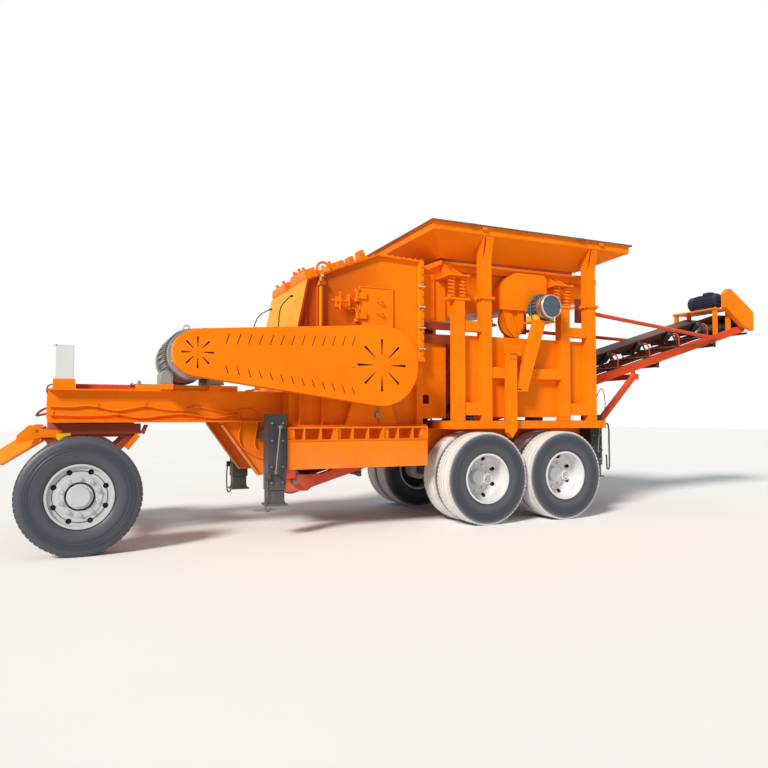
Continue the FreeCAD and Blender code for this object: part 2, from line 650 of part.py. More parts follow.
def crusher():
    w, t = CRUSHER_HALF_WIDTH, CRUSHER_WALL
    outer = side_plate(crusher_outline(), -w, w)
    hollow = side_plate(inset_outline(crusher_outline(), t), -w + t, w - t)
    floor = box(CRUSHER_FRONT_X + t, CRUSHER_REAR_X - t, -w + t, w - t, GIRDER_TOP - 10, GIRDER_TOP + t + 5)
    shell = outer.cut(hollow).cut(floor)
    shaft_hole = cross_rod(ROTOR_X, ROTOR_Z, -w - 10, w + 10, ROTOR_SHAFT_RADIUS + 5)
    inlet = box(CRUSHER_REAR_X - t - 5, CRUSHER_REAR_X + 5, -INLET_HALF_WIDTH, INLET_HALF_WIDTH,
                INLET_BOTTOM_Z, INLET_TOP_Z)
    doorway = box(DOOR_FRONT_X + 30, DOOR_REAR_X - 30, -w - 5, -w + t + 5, DOOR_BOTTOM_Z + 30, DOOR_TOP_Z - 30)
    shell = shell.cut([shaft_hole, inlet, doorway, belt_room(CRUSHER_REAR_X - t - 5, CRUSHER_REAR_X + 5)])
    low = box(-3000, 0, -1500, 1500, 0, CRUSHER_SPLIT_Z)
    high = box(-3000, 0, -1500, 1500, CRUSHER_SPLIT_Z, 4000)
    lower = shell.common(low)
    upper = shell.common(high).cut(wall_recess())
    base = box(CRUSHER_FRONT_X, CRUSHER_REAR_X, -w - 100, -w, GIRDER_TOP, GIRDER_TOP + 20)
    foot, top = GIRDER_TOP + 20, CRUSHER_SPLIT_Z - 310
    ribs = [side_plate([(x - 6, foot), (x + 6, foot), (x + 6, top), (x - 6, top)], -w - 90, -w)
            for x in (CRUSHER_FRONT_X + 110, CRUSHER_FRONT_X + 380, CRUSHER_REAR_X - 120)]
    pedestal = side_plate([(ROTOR_X - 330, GIRDER_TOP + 20), (ROTOR_X + 330, GIRDER_TOP + 20),
                           (ROTOR_X + 170, ROTOR_Z - 150), (ROTOR_X - 170, ROTOR_Z - 150)], -w - 100, -w)
    split = CRUSHER_SPLIT_Z
    outside = [base, pedestal] + ribs + split_flanges(split - 20)
    save("crusher_lower_housing", [joined([lower] + both_sides(outside))])

    bearing = turned([(-w - 130, ROTOR_SHAFT_RADIUS), (-w - 130, 130), (-w - 20, 150), (-w, 150),
                      (-w, ROTOR_SHAFT_RADIUS)],
                     ROTOR_X, ROTOR_Z)
    foot = box(ROTOR_X - 165, ROTOR_X + 165, -w - 100, -w, ROTOR_Z - 150, ROTOR_Z - 90)
    hole = cross_rod(ROTOR_X, ROTOR_Z, -w - 200, -w, ROTOR_SHAFT_RADIUS)
    save("bearing_blocks", both_sides([joined([bearing, foot]).cut(hole)]))
    drum = cross_rod(ROTOR_X, ROTOR_Z, -w + t + 25, w - t - 25, ROTOR_RADIUS)
    shaft = cross_rod(ROTOR_X, ROTOR_Z, -GUARD_OUTER_Y + 30, w + 130, ROTOR_SHAFT_RADIUS)
    save("crusher_rotor", [joined([drum, shaft])])

    door = box(DOOR_FRONT_X, DOOR_REAR_X, -w - DOOR_THICKNESS - RUNNING_CLEARANCE, -w - RUNNING_CLEARANCE,
               DOOR_BOTTOM_Z, DOOR_TOP_Z)
    pin_x, pin_y = DOOR_FRONT_X - 30, -w - 30
    knuckles = []
    for z in (DOOR_BOTTOM_Z + 80, DOOR_TOP_Z - 160):
        barrel = Part.makeCylinder(DOOR_PIN_RADIUS + 10, 80, Vector(pin_x, pin_y, z), Vector(0, 0, 1))
        strap = box(pin_x, DOOR_FRONT_X + 90, pin_y - 10, -w - RUNNING_CLEARANCE - DOOR_THICKNESS, z, z + 80)
        knuckles.append(joined([barrel, strap]))
    hole = Part.makeCylinder(DOOR_PIN_RADIUS + RUNNING_CLEARANCE, 1000,
                             Vector(pin_x, pin_y, DOOR_BOTTOM_Z - 100))
    save("inspection_door", [joined([door] + knuckles).cut(hole)])
    pins = []
    for z in (DOOR_BOTTOM_Z + 80, DOOR_TOP_Z - 160):
        pin = Part.makeCylinder(DOOR_PIN_RADIUS, 160, Vector(pin_x, pin_y, z - 40), Vector(0, 0, 1))
        lugs = [box(pin_x - 20, pin_x + 20, pin_y - 20, -w, level, level + 39) for level in (z - 40, z + 81)]
        pins.append(joined([pin] + lugs))
    roof = [(CRUSHER_SHOULDER_X, CRUSHER_SHOULDER_Z), (CRUSHER_PEAK_X, CRUSHER_PEAK_Z),
            (CRUSHER_REAR_X, CRUSHER_REAR_Z)]
    edge = side_plate(roof + [(x, z - 22) for x, z in reversed(roof)], -w - 45, -w)
    rear = box(CRUSHER_REAR_X - 60, CRUSHER_REAR_X, -w - 45, -w, split + 20, CRUSHER_REAR_Z - 10)
    ends = [(CRUSHER_FRONT_X, CRUSHER_KNEE_Z), (CRUSHER_SHOULDER_X, CRUSHER_SHOULDER_Z)]
    lean = (ends[1][0] - ends[0][0]) / (ends[1][1] - ends[0][1])
    foot_x = ends[0][0] + lean * (split + 20 - ends[0][1])
    front = side_plate([(foot_x, split + 20), ends[1], (ends[1][0] + 24, ends[1][1] - 10),
                        (foot_x + 24, split + 20)],
                       -w - 45, -w)
    post_x = CRUSHER_SHOULDER_X + 184
    post = Part.makeCylinder(28, CRUSHER_SHOULDER_Z - split + 20, Vector(post_x, -w - 32, split + 20))
    cleat = box(post_x - 40, post_x + 40, -w - 66, -w, CRUSHER_SHOULDER_Z - 60, CRUSHER_SHOULDER_Z - 10)
    flanges = both_sides([edge, rear, front, post, cleat] + split_flanges(split))
    save("crusher_upper_housing", [joined([upper] + flanges + pins)])


def apron_adjusters():
    """Spring boxes of the aprons: a row over the front edge, and pairs up the roof."""
    slope = Vector(CRUSHER_PEAK_X - CRUSHER_SHOULDER_X, 0, CRUSHER_PEAK_Z - CRUSHER_SHOULDER_Z)
    slope.normalize()
    out = Vector(-slope.z, 0, slope.x)
    rows = ((5, -430, 150, 620, 110), (5, 430, 150, 620, 110), (165, 80, 130, 420, 165),
            (370, -560, 90, 120, 80), (500, -560, 90, 120, 80), (640, -560, 90, 120, 95),
            (800, -560, 90, 120, 125), (370, 560, 90, 120, 80), (500, 560, 90, 120, 80),
            (640, 560, 90, 120, 95), (800, 560, 90, 120, 125),
            (480, 0, 260, 520, 120))
    boxes = []
    for along, y, length, width, height in rows:
        start = Vector(CRUSHER_SHOULDER_X, y - width / 2, CRUSHER_SHOULDER_Z) + slope * along
        end = start + slope * length
        bevel = out * (height * 0.3)
        brow = start + out * height + slope * (length * 0.25)
        corners = [start, end, end + out * height, brow, start + bevel]
        boxes.append(Part.Face(Part.makePolygon(corners + corners[:1])).extrude(Vector(0, width, 0)))
        if width > 200:
            middle = start + slope * (length / 2) + out * height
            for share in (0.25, 0.75):
                boxes[-1] = boxes[-1].fuse(Part.makeCylinder(20, 45, middle + Vector(0, width * share, 0), out))
    save("apron_adjusters", boxes)


# Feeder frame, pan and hopper

def belt_room(x0, x1):
    """The space that the conveyor belt needs where it runs under the crusher and the chute."""
    half = CONVEYOR_HALF_WIDTH + 10
    return box(x0, x1, -half, half, GIRDER_TOP - 10, conveyor_z(x1) + BELT_RISE + 170)


def feed_chute():
    """The box between the pan and the crusher, with an open window on each side."""
    x0, x1 = CRUSHER_REAR_X, POST_A_X - 90
    w, t = INLET_HALF_WIDTH + 60, 12
    floor = INLET_BOTTOM_Z - 40
    top = PAN_FRONT_Z + 585
    low = SILL_TOP + 30
    outer = box(x0, x1, -w, w, low, top)
    hollow = box(x0 - 5, x1 - t, -w + t, w - t, floor, top + 20)
    cavity = box(x0 + t, x1 - t, -w + t, w - t, low - 10, floor - t)
    mouth = box(x1 - t - 5, x1 + 5, -w - 5, w + 5, PAN_FRONT_Z - 20, top + 20)
    window = box(x0 + 30, x1 - 30, -w - 5, w + 5, PAN_FRONT_Z - 270, PAN_FRONT_Z - 15)
    eye = box(x0 + 50, x0 + 135, -w - 5, w + 5, low + 185, low + 295)
    stiffeners = [box(x0 + 190, x0 + 200, -w - 30, -w, PAN_FRONT_Z + 20, top - 20),
                  box(x0, x1, -w - 30, -w, PAN_FRONT_Z - 300, PAN_FRONT_Z - 290)]
    wings = [box(x1 - t - 5, POST_A_X + 60, -w, -w + t, z0, z1)
             for z0, z1 in ((low, PAN_FRONT_Z - 270), (PAN_FRONT_Z - 15, SPRING_TOP - 20))]
    shell = outer.cut([hollow, cavity, mouth, window, eye, belt_room(x0 - 5, x1 + 5)])
    save("feed_chute", [joined([shell] + both_sides(stiffeners + wings))])


def feeder_frame():
    """One side's posts, beams and recessed panels, and the beams across between the sides."""
    outer, inner = FRAME_OUTER_Y, FRAME_OUTER_Y - POST_DEPTH
    rim_low = HOPPER_RIM_Z - HOPPER_BAND
    rows = ((POST_A_X, SPRING_POST_TOP), (POST_B_X, rim_low), (POST_C_X, SPRING_POST_TOP), (POST_D_X, rim_low))
    shapes = [box(x, x + POST_WIDTH, -outer, -inner, SILL_TOP, top) for x, top in rows]
    beams = ((POST_A_X, POST_B_X, BEAM_HIGH, BEAM_HIGH_TOP), (POST_A_X, POST_B_X, BEAM_LOW, BEAM_LOW_TOP),
             (POST_B_X, POST_C_X, BEAM_MIDDLE, BEAM_MIDDLE_TOP),
             (POST_C_X, POST_D_X, BEAM_HIGH, BEAM_HIGH_TOP), (POST_C_X, POST_D_X, BEAM_LOW, BEAM_LOW_TOP))
    for x0, x1, z0, z1 in beams:
        shapes.append(box(x0 + POST_WIDTH, x1, -outer + 10, -inner - 10, z0, z1))
    panels = ((POST_A_X, POST_B_X, BEAM_LOW_TOP, BEAM_HIGH - PANEL_GAP),
              (POST_B_X, POST_C_X, BEAM_MIDDLE_TOP, BEAM_HIGH - PANEL_GAP),
              (POST_B_X, POST_C_X, SILL_TOP + PANEL_GAP, BEAM_MIDDLE),
              (POST_C_X, POST_D_X, BEAM_LOW_TOP, BEAM_HIGH - PANEL_GAP))
    for x0, x1, z0, z1 in panels:
        shapes.append(box(x0 + POST_WIDTH, x1, -inner - 20, -inner - 12, z0, z1))
    for x in (POST_A_X, POST_C_X):
        middle = x + POST_WIDTH / 2
        shapes.append(box(middle - SEAT_HALF_LENGTH, middle + SEAT_HALF_LENGTH, -outer - 10, -inner + 20,
                          SPRING_POST_TOP, SPRING_POST_TOP + SPRING_SEAT))
    for x in (POST_B_X, POST_D_X):
        shapes.append(box(x - 35, x + POST_WIDTH + 35, -outer - 25, -inner + 10,
                          SPLICE_Z, SPLICE_Z + 2 * SPLICE_PLATE))
        wing = [(-outer, rim_low - 280), (-outer - 62, rim_low - 30), (-outer - 62, rim_low), (-outer, rim_low)]
        shapes.append(end_plate(wing, x + 45, x + POST_WIDTH))
        shapes.append(end_plate(wing, x, x + 12))
    near = joined(shapes).cut(hopper_block(0))
    save("feeder_frame_near", [near])
    save("feeder_frame_far", [mirrored(near)])
    save("feeder_cross_beams", [box(x + 15, x + 130, -inner, inner, BEAM_HIGH - 180, BEAM_HIGH - 40)
                                for x in (POST_B_X, POST_C_X, POST_D_X)])


def hopper_block(inset):
    """The flared hopper's outside, or its inside when moved in by the sheet."""
    rows = ((HOPPER_FOOT_FRONT_X, HOPPER_FOOT_REAR_X, HOPPER_FOOT_HALF_WIDTH, HOPPER_FOOT_Z),
            (HOPPER_RIM_FRONT_X, HOPPER_RIM_REAR_X, HOPPER_RIM_HALF_WIDTH, HOPPER_RIM_Z - HOPPER_BAND))
    wires = []
    for x0, x1, half, z in rows:
        a, b, c = x0 + inset, x1 - inset, half - inset
        wires.append(Part.makePolygon([Vector(a, -c, z), Vector(b, -c, z), Vector(b, c, z),
                                       Vector(a, c, z), Vector(a, -c, z)]))
    flare = Part.makeLoft(wires, True, True)
    x0, x1, half, z = rows[1]
    band = box(x0 + inset, x1 - inset, -half + inset, half - inset, z, HOPPER_RIM_Z)
    return flare.fuse(band)


def hopper():
    shell = hopper_block(0).cut(hopper_block(HOPPER_SHEET))
    lip = HOPPER_LIP
    x0, x1, half = HOPPER_RIM_FRONT_X - lip, HOPPER_RIM_REAR_X + lip, HOPPER_RIM_HALF_WIDTH + lip
    rim_plate = box(x0, x1, -half, half, HOPPER_RIM_Z - 12, HOPPER_RIM_Z)
    hole = box(HOPPER_RIM_FRONT_X, HOPPER_RIM_REAR_X, -HOPPER_RIM_HALF_WIDTH, HOPPER_RIM_HALF_WIDTH,
               HOPPER_RIM_Z - 100, HOPPER_RIM_Z + 100)
    tabs = [box(x, x + 70, -half, -HOPPER_RIM_HALF_WIDTH, HOPPER_RIM_Z - 60, HOPPER_RIM_Z - 12)
            for x in (POST_B_X - 40, POST_D_X + 150)]
    save("feed_hopper", [joined([shell, rim_plate.cut(hole)] + both_sides(tabs))])


def pan_z(x):
    """The underside of the feeder pan, which falls towards the crusher."""
    share = (x - PAN_FRONT_X) / (PAN_REAR_X - PAN_FRONT_X)
    return PAN_FRONT_Z + share * (PAN_REAR_Z - PAN_FRONT_Z)


def feeder():
    """The vibrating pan on its springs, with an ear over each pair of them."""
    w, t = PAN_HALF_WIDTH, PAN_SHEET
    outline = [(PAN_FRONT_X, PAN_FRONT_Z), (PAN_REAR_X, PAN_REAR_Z), (PAN_REAR_X, PAN_TOP_Z),
               (PAN_FRONT_X + 230, PAN_TOP_Z), (PAN_FRONT_X, PAN_LIP_Z)]
    walls = [side_plate(outline, y, y + t) for y in (-w, w - t)]
    floor = side_plate([(PAN_FRONT_X, PAN_FRONT_Z), (PAN_REAR_X, PAN_REAR_Z), (PAN_REAR_X, PAN_REAR_Z + t),
                        (PAN_FRONT_X, PAN_FRONT_Z + t)], -w + t, w - t)
    back = box(PAN_REAR_X - t, PAN_REAR_X, -w + t, w - t, PAN_REAR_Z + t, PAN_TOP_Z)
    rail = box(PAN_FRONT_X + 260, PAN_REAR_X, -w - 50, -w, PAN_TOP_Z - 130, PAN_TOP_Z - 50)
    lip = side_plate([(PAN_FRONT_X, PAN_LIP_Z), (PAN_FRONT_X + 230, PAN_TOP_Z),
                      (PAN_FRONT_X + 230, PAN_TOP_Z - 60),
                      (PAN_FRONT_X, PAN_LIP_Z - 60)], -w - 60, -w)
    ears = []
    for x in (POST_A_X, POST_C_X):
        middle = x + POST_WIDTH / 2
        ears.append(box(middle - SEAT_HALF_LENGTH, middle + SEAT_HALF_LENGTH, -FRAME_OUTER_Y - 10, -w,
                        SPRING_TOP, SPRING_TOP + 16))
        for dx in (-66, 54):
            ears.append(end_plate([(-FRAME_OUTER_Y, SPRING_TOP + 16), (-w, SPRING_TOP + 16),
                                   (-w, SPRING_TOP + 200)],
                                  middle + dx, middle + dx + 12))
    save("feeder_pan", [joined(walls + [floor, back] + both_sides([rail, lip] + ears))])
    springs = []
    y = -(FRAME_OUTER_Y - POST_DEPTH / 2)
    for x in (POST_A_X, POST_C_X):
        for dx in (-SPRING_OFFSET, SPRING_OFFSET):
            foot = Vector(x + POST_WIDTH / 2 + dx, y, SPRING_TOP - SPRING_HEIGHT)
            springs.append(Part.makeCylinder(SPRING_RADIUS - 6, SPRING_HEIGHT, foot))
    save("feeder_springs", both_sides(springs))


def feeder_drive():
    """The exciter's guard with the pulley covers under it, its motor and the motor's stand."""
    x, z, y0 = FEED_MOTOR_X, FEED_MOTOR_Z, -EXCITER_GUARD_Y
    r = FEED_MOTOR_RADIUS
    cowl = turned([(y0 - 360, 0), (y0 - 360, r - 10), (y0 - 340, r + 15), (y0 - 235, r + 15), (y0 - 235, r),
                   (y0 - 30, r), (y0 - 10, r - 40), (y0 - 10, 0)], x, z)
    shaft = cross_rod(x, z, y0 - 10, y0 + 60, 24)
    foot = box(x - 130, x + 130, y0 - 210, y0 - 35, z - 175, z - 110)
    terminals = box(x - 60, x + 60, y0 - 190, y0 - 80, z + 100, z + r + 45)
    save("feeder_motor", [joined([cowl, shaft, foot, terminals])])

    g0, g1, low = EXCITER_GUARD_X, EXCITER_GUARD_X + EXCITER_GUARD_LENGTH, z - 20
    outline = [(g0, low), (g0, z + 260), (g0 + 120, z + 400), (g0 + 270, z + 480), (g1 - 40, z + 480),
               (g1, z + 440), (g1, low)]
    guard = side_plate(outline, y0, -PAN_HALF_WIDTH - 60)
    cover_x, cover_z, cover_r = g0 + 240, z - 165, 205
    covers = [cross_rod(cover_x, cover_z, y0 + 60, y0 + 110, cover_r),
              side_plate([(g0 + 60, low), (g0 + 190, low), (g0 + 270, cover_z - 60), (g0 + 330, cover_z - 230),
                          (g0 + 250, cover_z - 215), (g0 + 130, cover_z - 90)], y0 + 30, y0 + 60),
              side_plate([(g0 + 290, low), (g0 + 400, low), (g0 + 400, cover_z - 20), (g0 + 350, cover_z - 150),
                          (g0 + 320, cover_z - 30)], y0 + 30, y0 + 60)]
    post_face = -FRAME_OUTER_Y + POST_DEPTH
    strap = box(g1 - 60, POST_C_X + 120, post_face, post_face + 12, z - 50, z)
    lug = box(g1 - 60, g1 - 45, post_face + 12, y0 + 20, z - 50, z)
    save("exciter_guard", [joined([guard, strap, lug] + covers).cut(cross_rod(x, z, y0 - 5, y0 + 62, 30))])

    outer, depth = FRAME_OUTER_Y, STAND_DEPTH
    table = box(x - 170, x + 150, -outer - depth, y0 + 20, z - 190, z - 175)
    middle_y = -outer - depth / 2
    brace_x, brace_z = STAND_X + 215, BEAM_MIDDLE - 150
    brace = bar((x - 87, middle_y, z - 190), (brace_x, middle_y, brace_z), depth, 150)
    shoe = box(brace_x - 90, brace_x + 90, -outer - depth, -outer, brace_z - 20, brace_z)
    x0, x1 = STAND_X, STAND_X + STAND_WIDTH
    foot, top = SILL_TOP - 218, BEAM_MIDDLE_TOP + 210
    leg = side_plate([(x0, foot + 68), (x0 + 50, foot), (x1, foot + 108), (x1, top), (x0, top)],
                     -outer - depth, -outer)
    plate = box(x0 - 8, x0 + 265, -outer - 12, -outer, top - 50, top + 90)
    above = box(x - 300, x + 300, -outer - 200, 0, z - 175, z + 100)
    save("motor_stand", [joined([brace, shoe, leg, plate]).cut(above).fuse(table).removeSplitter()])


# Conveyor

def slope_vectors():
    """Unit vectors along the conveyor and square to it, upwards."""
    along = Vector(1, 0, BELT_SLOPE)
    along.normalize()
    return along, Vector(-along.z, 0, along.x)


def drum_centre(x):
    """The middle of a drum that the carrying run leaves at its top."""
    stretch = math.hypot(1, BELT_SLOPE)
    return Vector(x, 0, conveyor_z(x) + BELT_RISE - DRUM_RADIUS * stretch)


def conveyor_frame():
    w = CONVEYOR_HALF_WIDTH
    tail_z, h = conveyor_z(TAIL_BEND_X) - 42, STRINGER_HEIGHT
    bend, head = TAIL_BEND_X, CONVEYOR_HEAD_X + 60
    outline = [(TAIL_FRAME_X, tail_z), (bend - 60, tail_z), (bend, conveyor_z(bend)), (head, conveyor_z(head)),
               (head, conveyor_z(head) + h), (bend + 120, conveyor_z(bend + 120) + h),
               (bend - 60, tail_z + TAIL_FRAME_HEIGHT), (TAIL_FRAME_X, tail_z + TAIL_FRAME_HEIGHT)]
    stringers = [side_plate(outline, y, y + STRINGER_WIDTH) for y in (-w, w - STRINGER_WIDTH)]
    ties = []
    for i in range(TIE_COUNT):
        x = TAIL_BEND_X + 460 + TIE_PITCH * i
        z = conveyor_z(x)
        ties.append(side_plate([(x, z), (x + 80, z + 24), (x + 80, z + 74), (x, z + 50)],
                               -w + STRINGER_WIDTH, w - STRINGER_WIDTH))
    brackets = [box(x - 60, x + 60, -RAIL_Y + RAIL_FLANGE / 2, -w, RAIL_TOP - 250, RAIL_TOP)
                for x in (-10, 260)]
    hanger_x = CONVEYOR_TAIL_X - 30
    hanger = box(hanger_x - 60, hanger_x + 60, -w - 12, -w, tail_z + 150, RAIL_BOTTOM + 60)
    tab = box(hanger_x - 60, hanger_x + 60, -RAIL_Y + RAIL_FLANGE / 2, -w - 12, RAIL_BOTTOM, RAIL_BOTTOM + 18)
    frame = joined(stringers + ties + both_sides(brackets + [hanger, tab]))
    for x in (CONVEYOR_TAIL_X, CONVEYOR_HEAD_X):
        c = drum_centre(x)
        frame = frame.cut(cross_rod(c.x, c.z, -w - 5, w + 5, DRUM_SHAFT_RADIUS))
    save("conveyor_frame", [frame])


def trough(start, spread, lift):
    """The belt's cross section at a point: flat in the middle, with its edges raised."""
    along, up = slope_vectors()
    t = up * BELT_THICKNESS
    low = [start + Vector(0, y, 0) + up * z for y, z in
           ((-spread, lift), (-BELT_FLAT, 0), (BELT_FLAT, 0), (spread, lift))]
    points = low + [p + t for p in reversed(low)]
    return Part.makePolygon(points + points[:1])


def conveyor_belt():
    along, up = slope_vectors()
    tail, head = drum_centre(CONVEYOR_TAIL_X), drum_centre(CONVEYOR_HEAD_X)
    r, t, w = DRUM_RADIUS, BELT_THICKNESS, BELT_HALF_WIDTH

    def loop(radius):
        wire = capsule(tail.x, tail.z, radius, head.x, head.z, radius)
        face = Part.Face(wire)
        face.translate(Vector(0, -w, 0))
        return face.extrude(Vector(0, 2 * w, 0))

    ring = loop(r + t).cut(loop(r))
    corners = [tail + up * (r - 5), head + up * (r - 5), head + up * (r + 20), tail + up * (r + 20)]
    window = Part.Face(Part.makePolygon([c + Vector(0, -w - 5, 0) for c in corners + corners[:1]]))
    ring = ring.cut(window.extrude(Vector(0, 2 * w + 10, 0)))
    wing = w - BELT_FLAT
    spread = BELT_FLAT + wing * math.cos(math.radians(TROUGH_ANGLE))
    lift = wing * math.sin(math.radians(TROUGH_ANGLE))
    transition = 450
    a, b = tail + up * r, head + up * r
    sections = [trough(a, w, 0), trough(a + along * transition, spread, lift),
                trough(b - along * transition, spread, lift), trough(b, w, 0)]
    pieces = [Part.makeLoft(sections[i:i + 2], True, True) for i in range(3)]
    save("conveyor_belt", [joined([ring] + pieces)])


def conveyor_idlers():
    """Sets of three rollers on angles across the stringers, with bent arms at the sides."""
    along, up = slope_vectors()
    tail, head = drum_centre(CONVEYOR_TAIL_X), drum_centre(CONVEYOR_HEAD_X)
    first, last = tail + along * 650, head - along * 850
    stretch = math.hypot(1, BELT_SLOPE)
    below = (BELT_RISE - STRINGER_HEIGHT) / stretch
    base_height = 24
    angle = math.radians(TROUGH_ANGLE)
    wing = BELT_HALF_WIDTH - BELT_FLAT
    r, w = IDLER_RADIUS, CONVEYOR_HALF_WIDTH
    shapes = []
    for i in range(IDLER_COUNT):
        centre = first + (last - first) * (i / (IDLER_COUNT - 1)) + up * (DRUM_RADIUS - RUNNING_CLEARANCE)
        seat = centre - up * (below - RUNNING_CLEARANCE)
        middle = centre - up * r
        rollers = [Part.makeCylinder(r, 2 * BELT_FLAT - 20, middle - Vector(0, BELT_FLAT - 10, 0),
                                     Vector(0, 1, 0))]
        corners = [seat - along * 30, seat + along * 30, seat + along * 30 + up * base_height,
                   seat - along * 30 + up * base_height]
        base = Part.Face(Part.makePolygon([c - Vector(0, w, 0) for c in corners + corners[:1]]))
        base = base.extrude(Vector(0, 2 * w, 0))
        posts = []
        for s in (-1, 1):
            lean = Vector(0, s * math.cos(angle), 0) + up * math.sin(angle)
            across = up * math.cos(angle) - Vector(0, s * math.sin(angle), 0)
            root = centre + Vector(0, s * BELT_FLAT, 0) - across * r + lean * 24
            rollers.append(Part.makeCylinder(r, wing - 30, root, lean))
            tip = root + lean * (wing - 30)
            foot = seat + Vector(0, s * (w - 20), 0)
            plate = [foot, foot + Vector(0, s * 20, 0), tip + lean * 26 + up * 20, tip + lean * 4 + up * 20,
                     tip + lean * 0 - across * 30]
            face = Part.Face(Part.makePolygon(plate + plate[:1]))
            face.translate(along * -8)
            posts.append(face.extrude(along * 16))
            inner = centre + Vector(0, s * (BELT_FLAT + 4), 0) - up * (r + 20)
            posts.append(bar(tuple(seat + Vector(0, s * (BELT_FLAT + 4), 0)), tuple(inner + up * 20), 16, 10))
        shapes.append(joined(rollers + [base] + posts))
    save("conveyor_idlers", shapes)


def conveyor_drums():
    w = CONVEYOR_HALF_WIDTH
    shapes = []
    for x in (CONVEYOR_TAIL_X, CONVEYOR_HEAD_X):
        c = drum_centre(x)
        drum = cross_rod(c.x, c.z, -BELT_HALF_WIDTH - 10, BELT_HALF_WIDTH + 10, DRUM_RADIUS)
        shaft = cross_rod(c.x, c.z, -w - 100, w + 40, DRUM_SHAFT_RADIUS)
        shapes.append(joined([drum, shaft]))
    c = drum_centre(CONVEYOR_HEAD_X)
    blocks = []
    for y in (-w, w - STRINGER_WIDTH):
        z = conveyor_z(c.x)
        outline = [(c.x - 90, conveyor_z(c.x - 90) + STRINGER_HEIGHT),
                   (c.x + 60, conveyor_z(c.x + 60) + STRINGER_HEIGHT),
                   (c.x + 60, c.z + 60), (c.x - 60, c.z + 60)]
        bore = cross_rod(c.x, c.z, y - 5, y + 100, DRUM_SHAFT_RADIUS)
        block = side_plate(outline, y, y + STRINGER_WIDTH).cut(bore)
        blocks.append(block)
    save("conveyor_drums", shapes)
    save("head_bearings", blocks)


def conveyor_drive():
    """The motor on its bridge over the belt, and the belt guard down to the head drum."""
    w, plate = CONVEYOR_HALF_WIDTH, BRIDGE_PLATE
    x0, x1 = CONVEYOR_HEAD_X - BRIDGE_BACK, CONVEYOR_HEAD_X - BRIDGE_BACK + BRIDGE_LENGTH
    level = conveyor_z(x0) + STRINGER_HEIGHT + BRIDGE_RISE
    legs = []
    for x in (x0 + 20, x1 - 70):
        low, low_end = conveyor_z(x) + STRINGER_HEIGHT, conveyor_z(x + 50) + STRINGER_HEIGHT
        for y in (-w, w - STRINGER_WIDTH):
            legs.append(side_plate([(x, low), (x + 50, low_end), (x + 50, level), (x, level)],
                                   y, y + STRINGER_WIDTH))
    bridge = box(x0, x1, -w - 20, w + 20, level, level + plate)
    save("motor_bridge", [joined(legs + [bridge])])
    motor_x, motor_z, r = (x0 + x1) / 2, level + HEAD_MOTOR_RISE, HEAD_MOTOR_RADIUS
    body = turned([(-360, 0), (-360, r - 45), (-340, r), (70, r), (70, r + 8), (170, r + 8),
                   (190, r - 12), (190, 0)],
                  motor_x, motor_z)
    shaft = cross_rod(motor_x, motor_z, -w - 60, -360, 24)
    foot = box(motor_x - 90, motor_x + 90, -290, 90, level + plate, motor_z - 90)
    terminals = box(motor_x - 55, motor_x + 55, -220, -80, motor_z + 90, motor_z + r + 40)
    save("conveyor_motor", [joined([body, shaft, foot, terminals])])
    head = drum_centre(CONVEYOR_HEAD_X)
    outline = [(motor_x - 60, level + 30), (motor_x - 55, level + 265), (motor_x + 20, level + 335),
               (motor_x + 90, level + 320), (head.x + 140, head.z + 190), (head.x + 140, head.z - 120),
               (head.x - 116, head.z - 48)]
    guard = side_plate(outline, -w - 110, -w - 20)
    guard = guard.cut(side_plate(inset_outline(outline, 6), -w - 104, -w - 19))
    save("conveyor_head_guard", [guard])


def conveyor_stays():
    rail_end = RAIL_REAR_X - 60
    top_x = 3120.0
    top_z = conveyor_z(top_x)
    y = RAIL_Y - 40
    shapes = []
    strut = bar((rail_end, -y, RAIL_TOP), (top_x, -y, top_z - 50), 70, 70)
    strut = strut.cut(box(rail_end - 200, rail_end + 300, -y - 100, -y + 100, RAIL_TOP - 200, RAIL_TOP))
    cross = box(top_x - 40, top_x + 40, -y - 40, y + 40, top_z - 120, top_z - 40)
    lug = box(top_x - 40, top_x + 40, -CONVEYOR_HALF_WIDTH - 12, -CONVEYOR_HALF_WIDTH, top_z - 120, top_z + 60)
    shapes.append(joined([cross] + both_sides([strut, lug])))
    post_face = POST_D_X + POST_WIDTH
    tie_x = CONVEYOR_HEAD_X - 670
    tie_z = conveyor_z(tie_x) + STRINGER_HEIGHT / 2
    tie = rod((post_face - 40, -FRAME_OUTER_Y + 50, tie_z + 150), (tie_x, -CONVEYOR_HALF_WIDTH - 40, tie_z), 28)
    tie = tie.cut(box(post_face - 200, post_face, -FRAME_OUTER_Y - 50, 0, tie_z, tie_z + 300))
    lug = box(tie_x - 40, tie_x + 40, -CONVEYOR_HALF_WIDTH - 60, -CONVEYOR_HALF_WIDTH, tie_z - 35, tie_z + 35)
    shapes += both_sides([joined([tie, lug])])
    save("conveyor_stays", shapes)


# Support legs

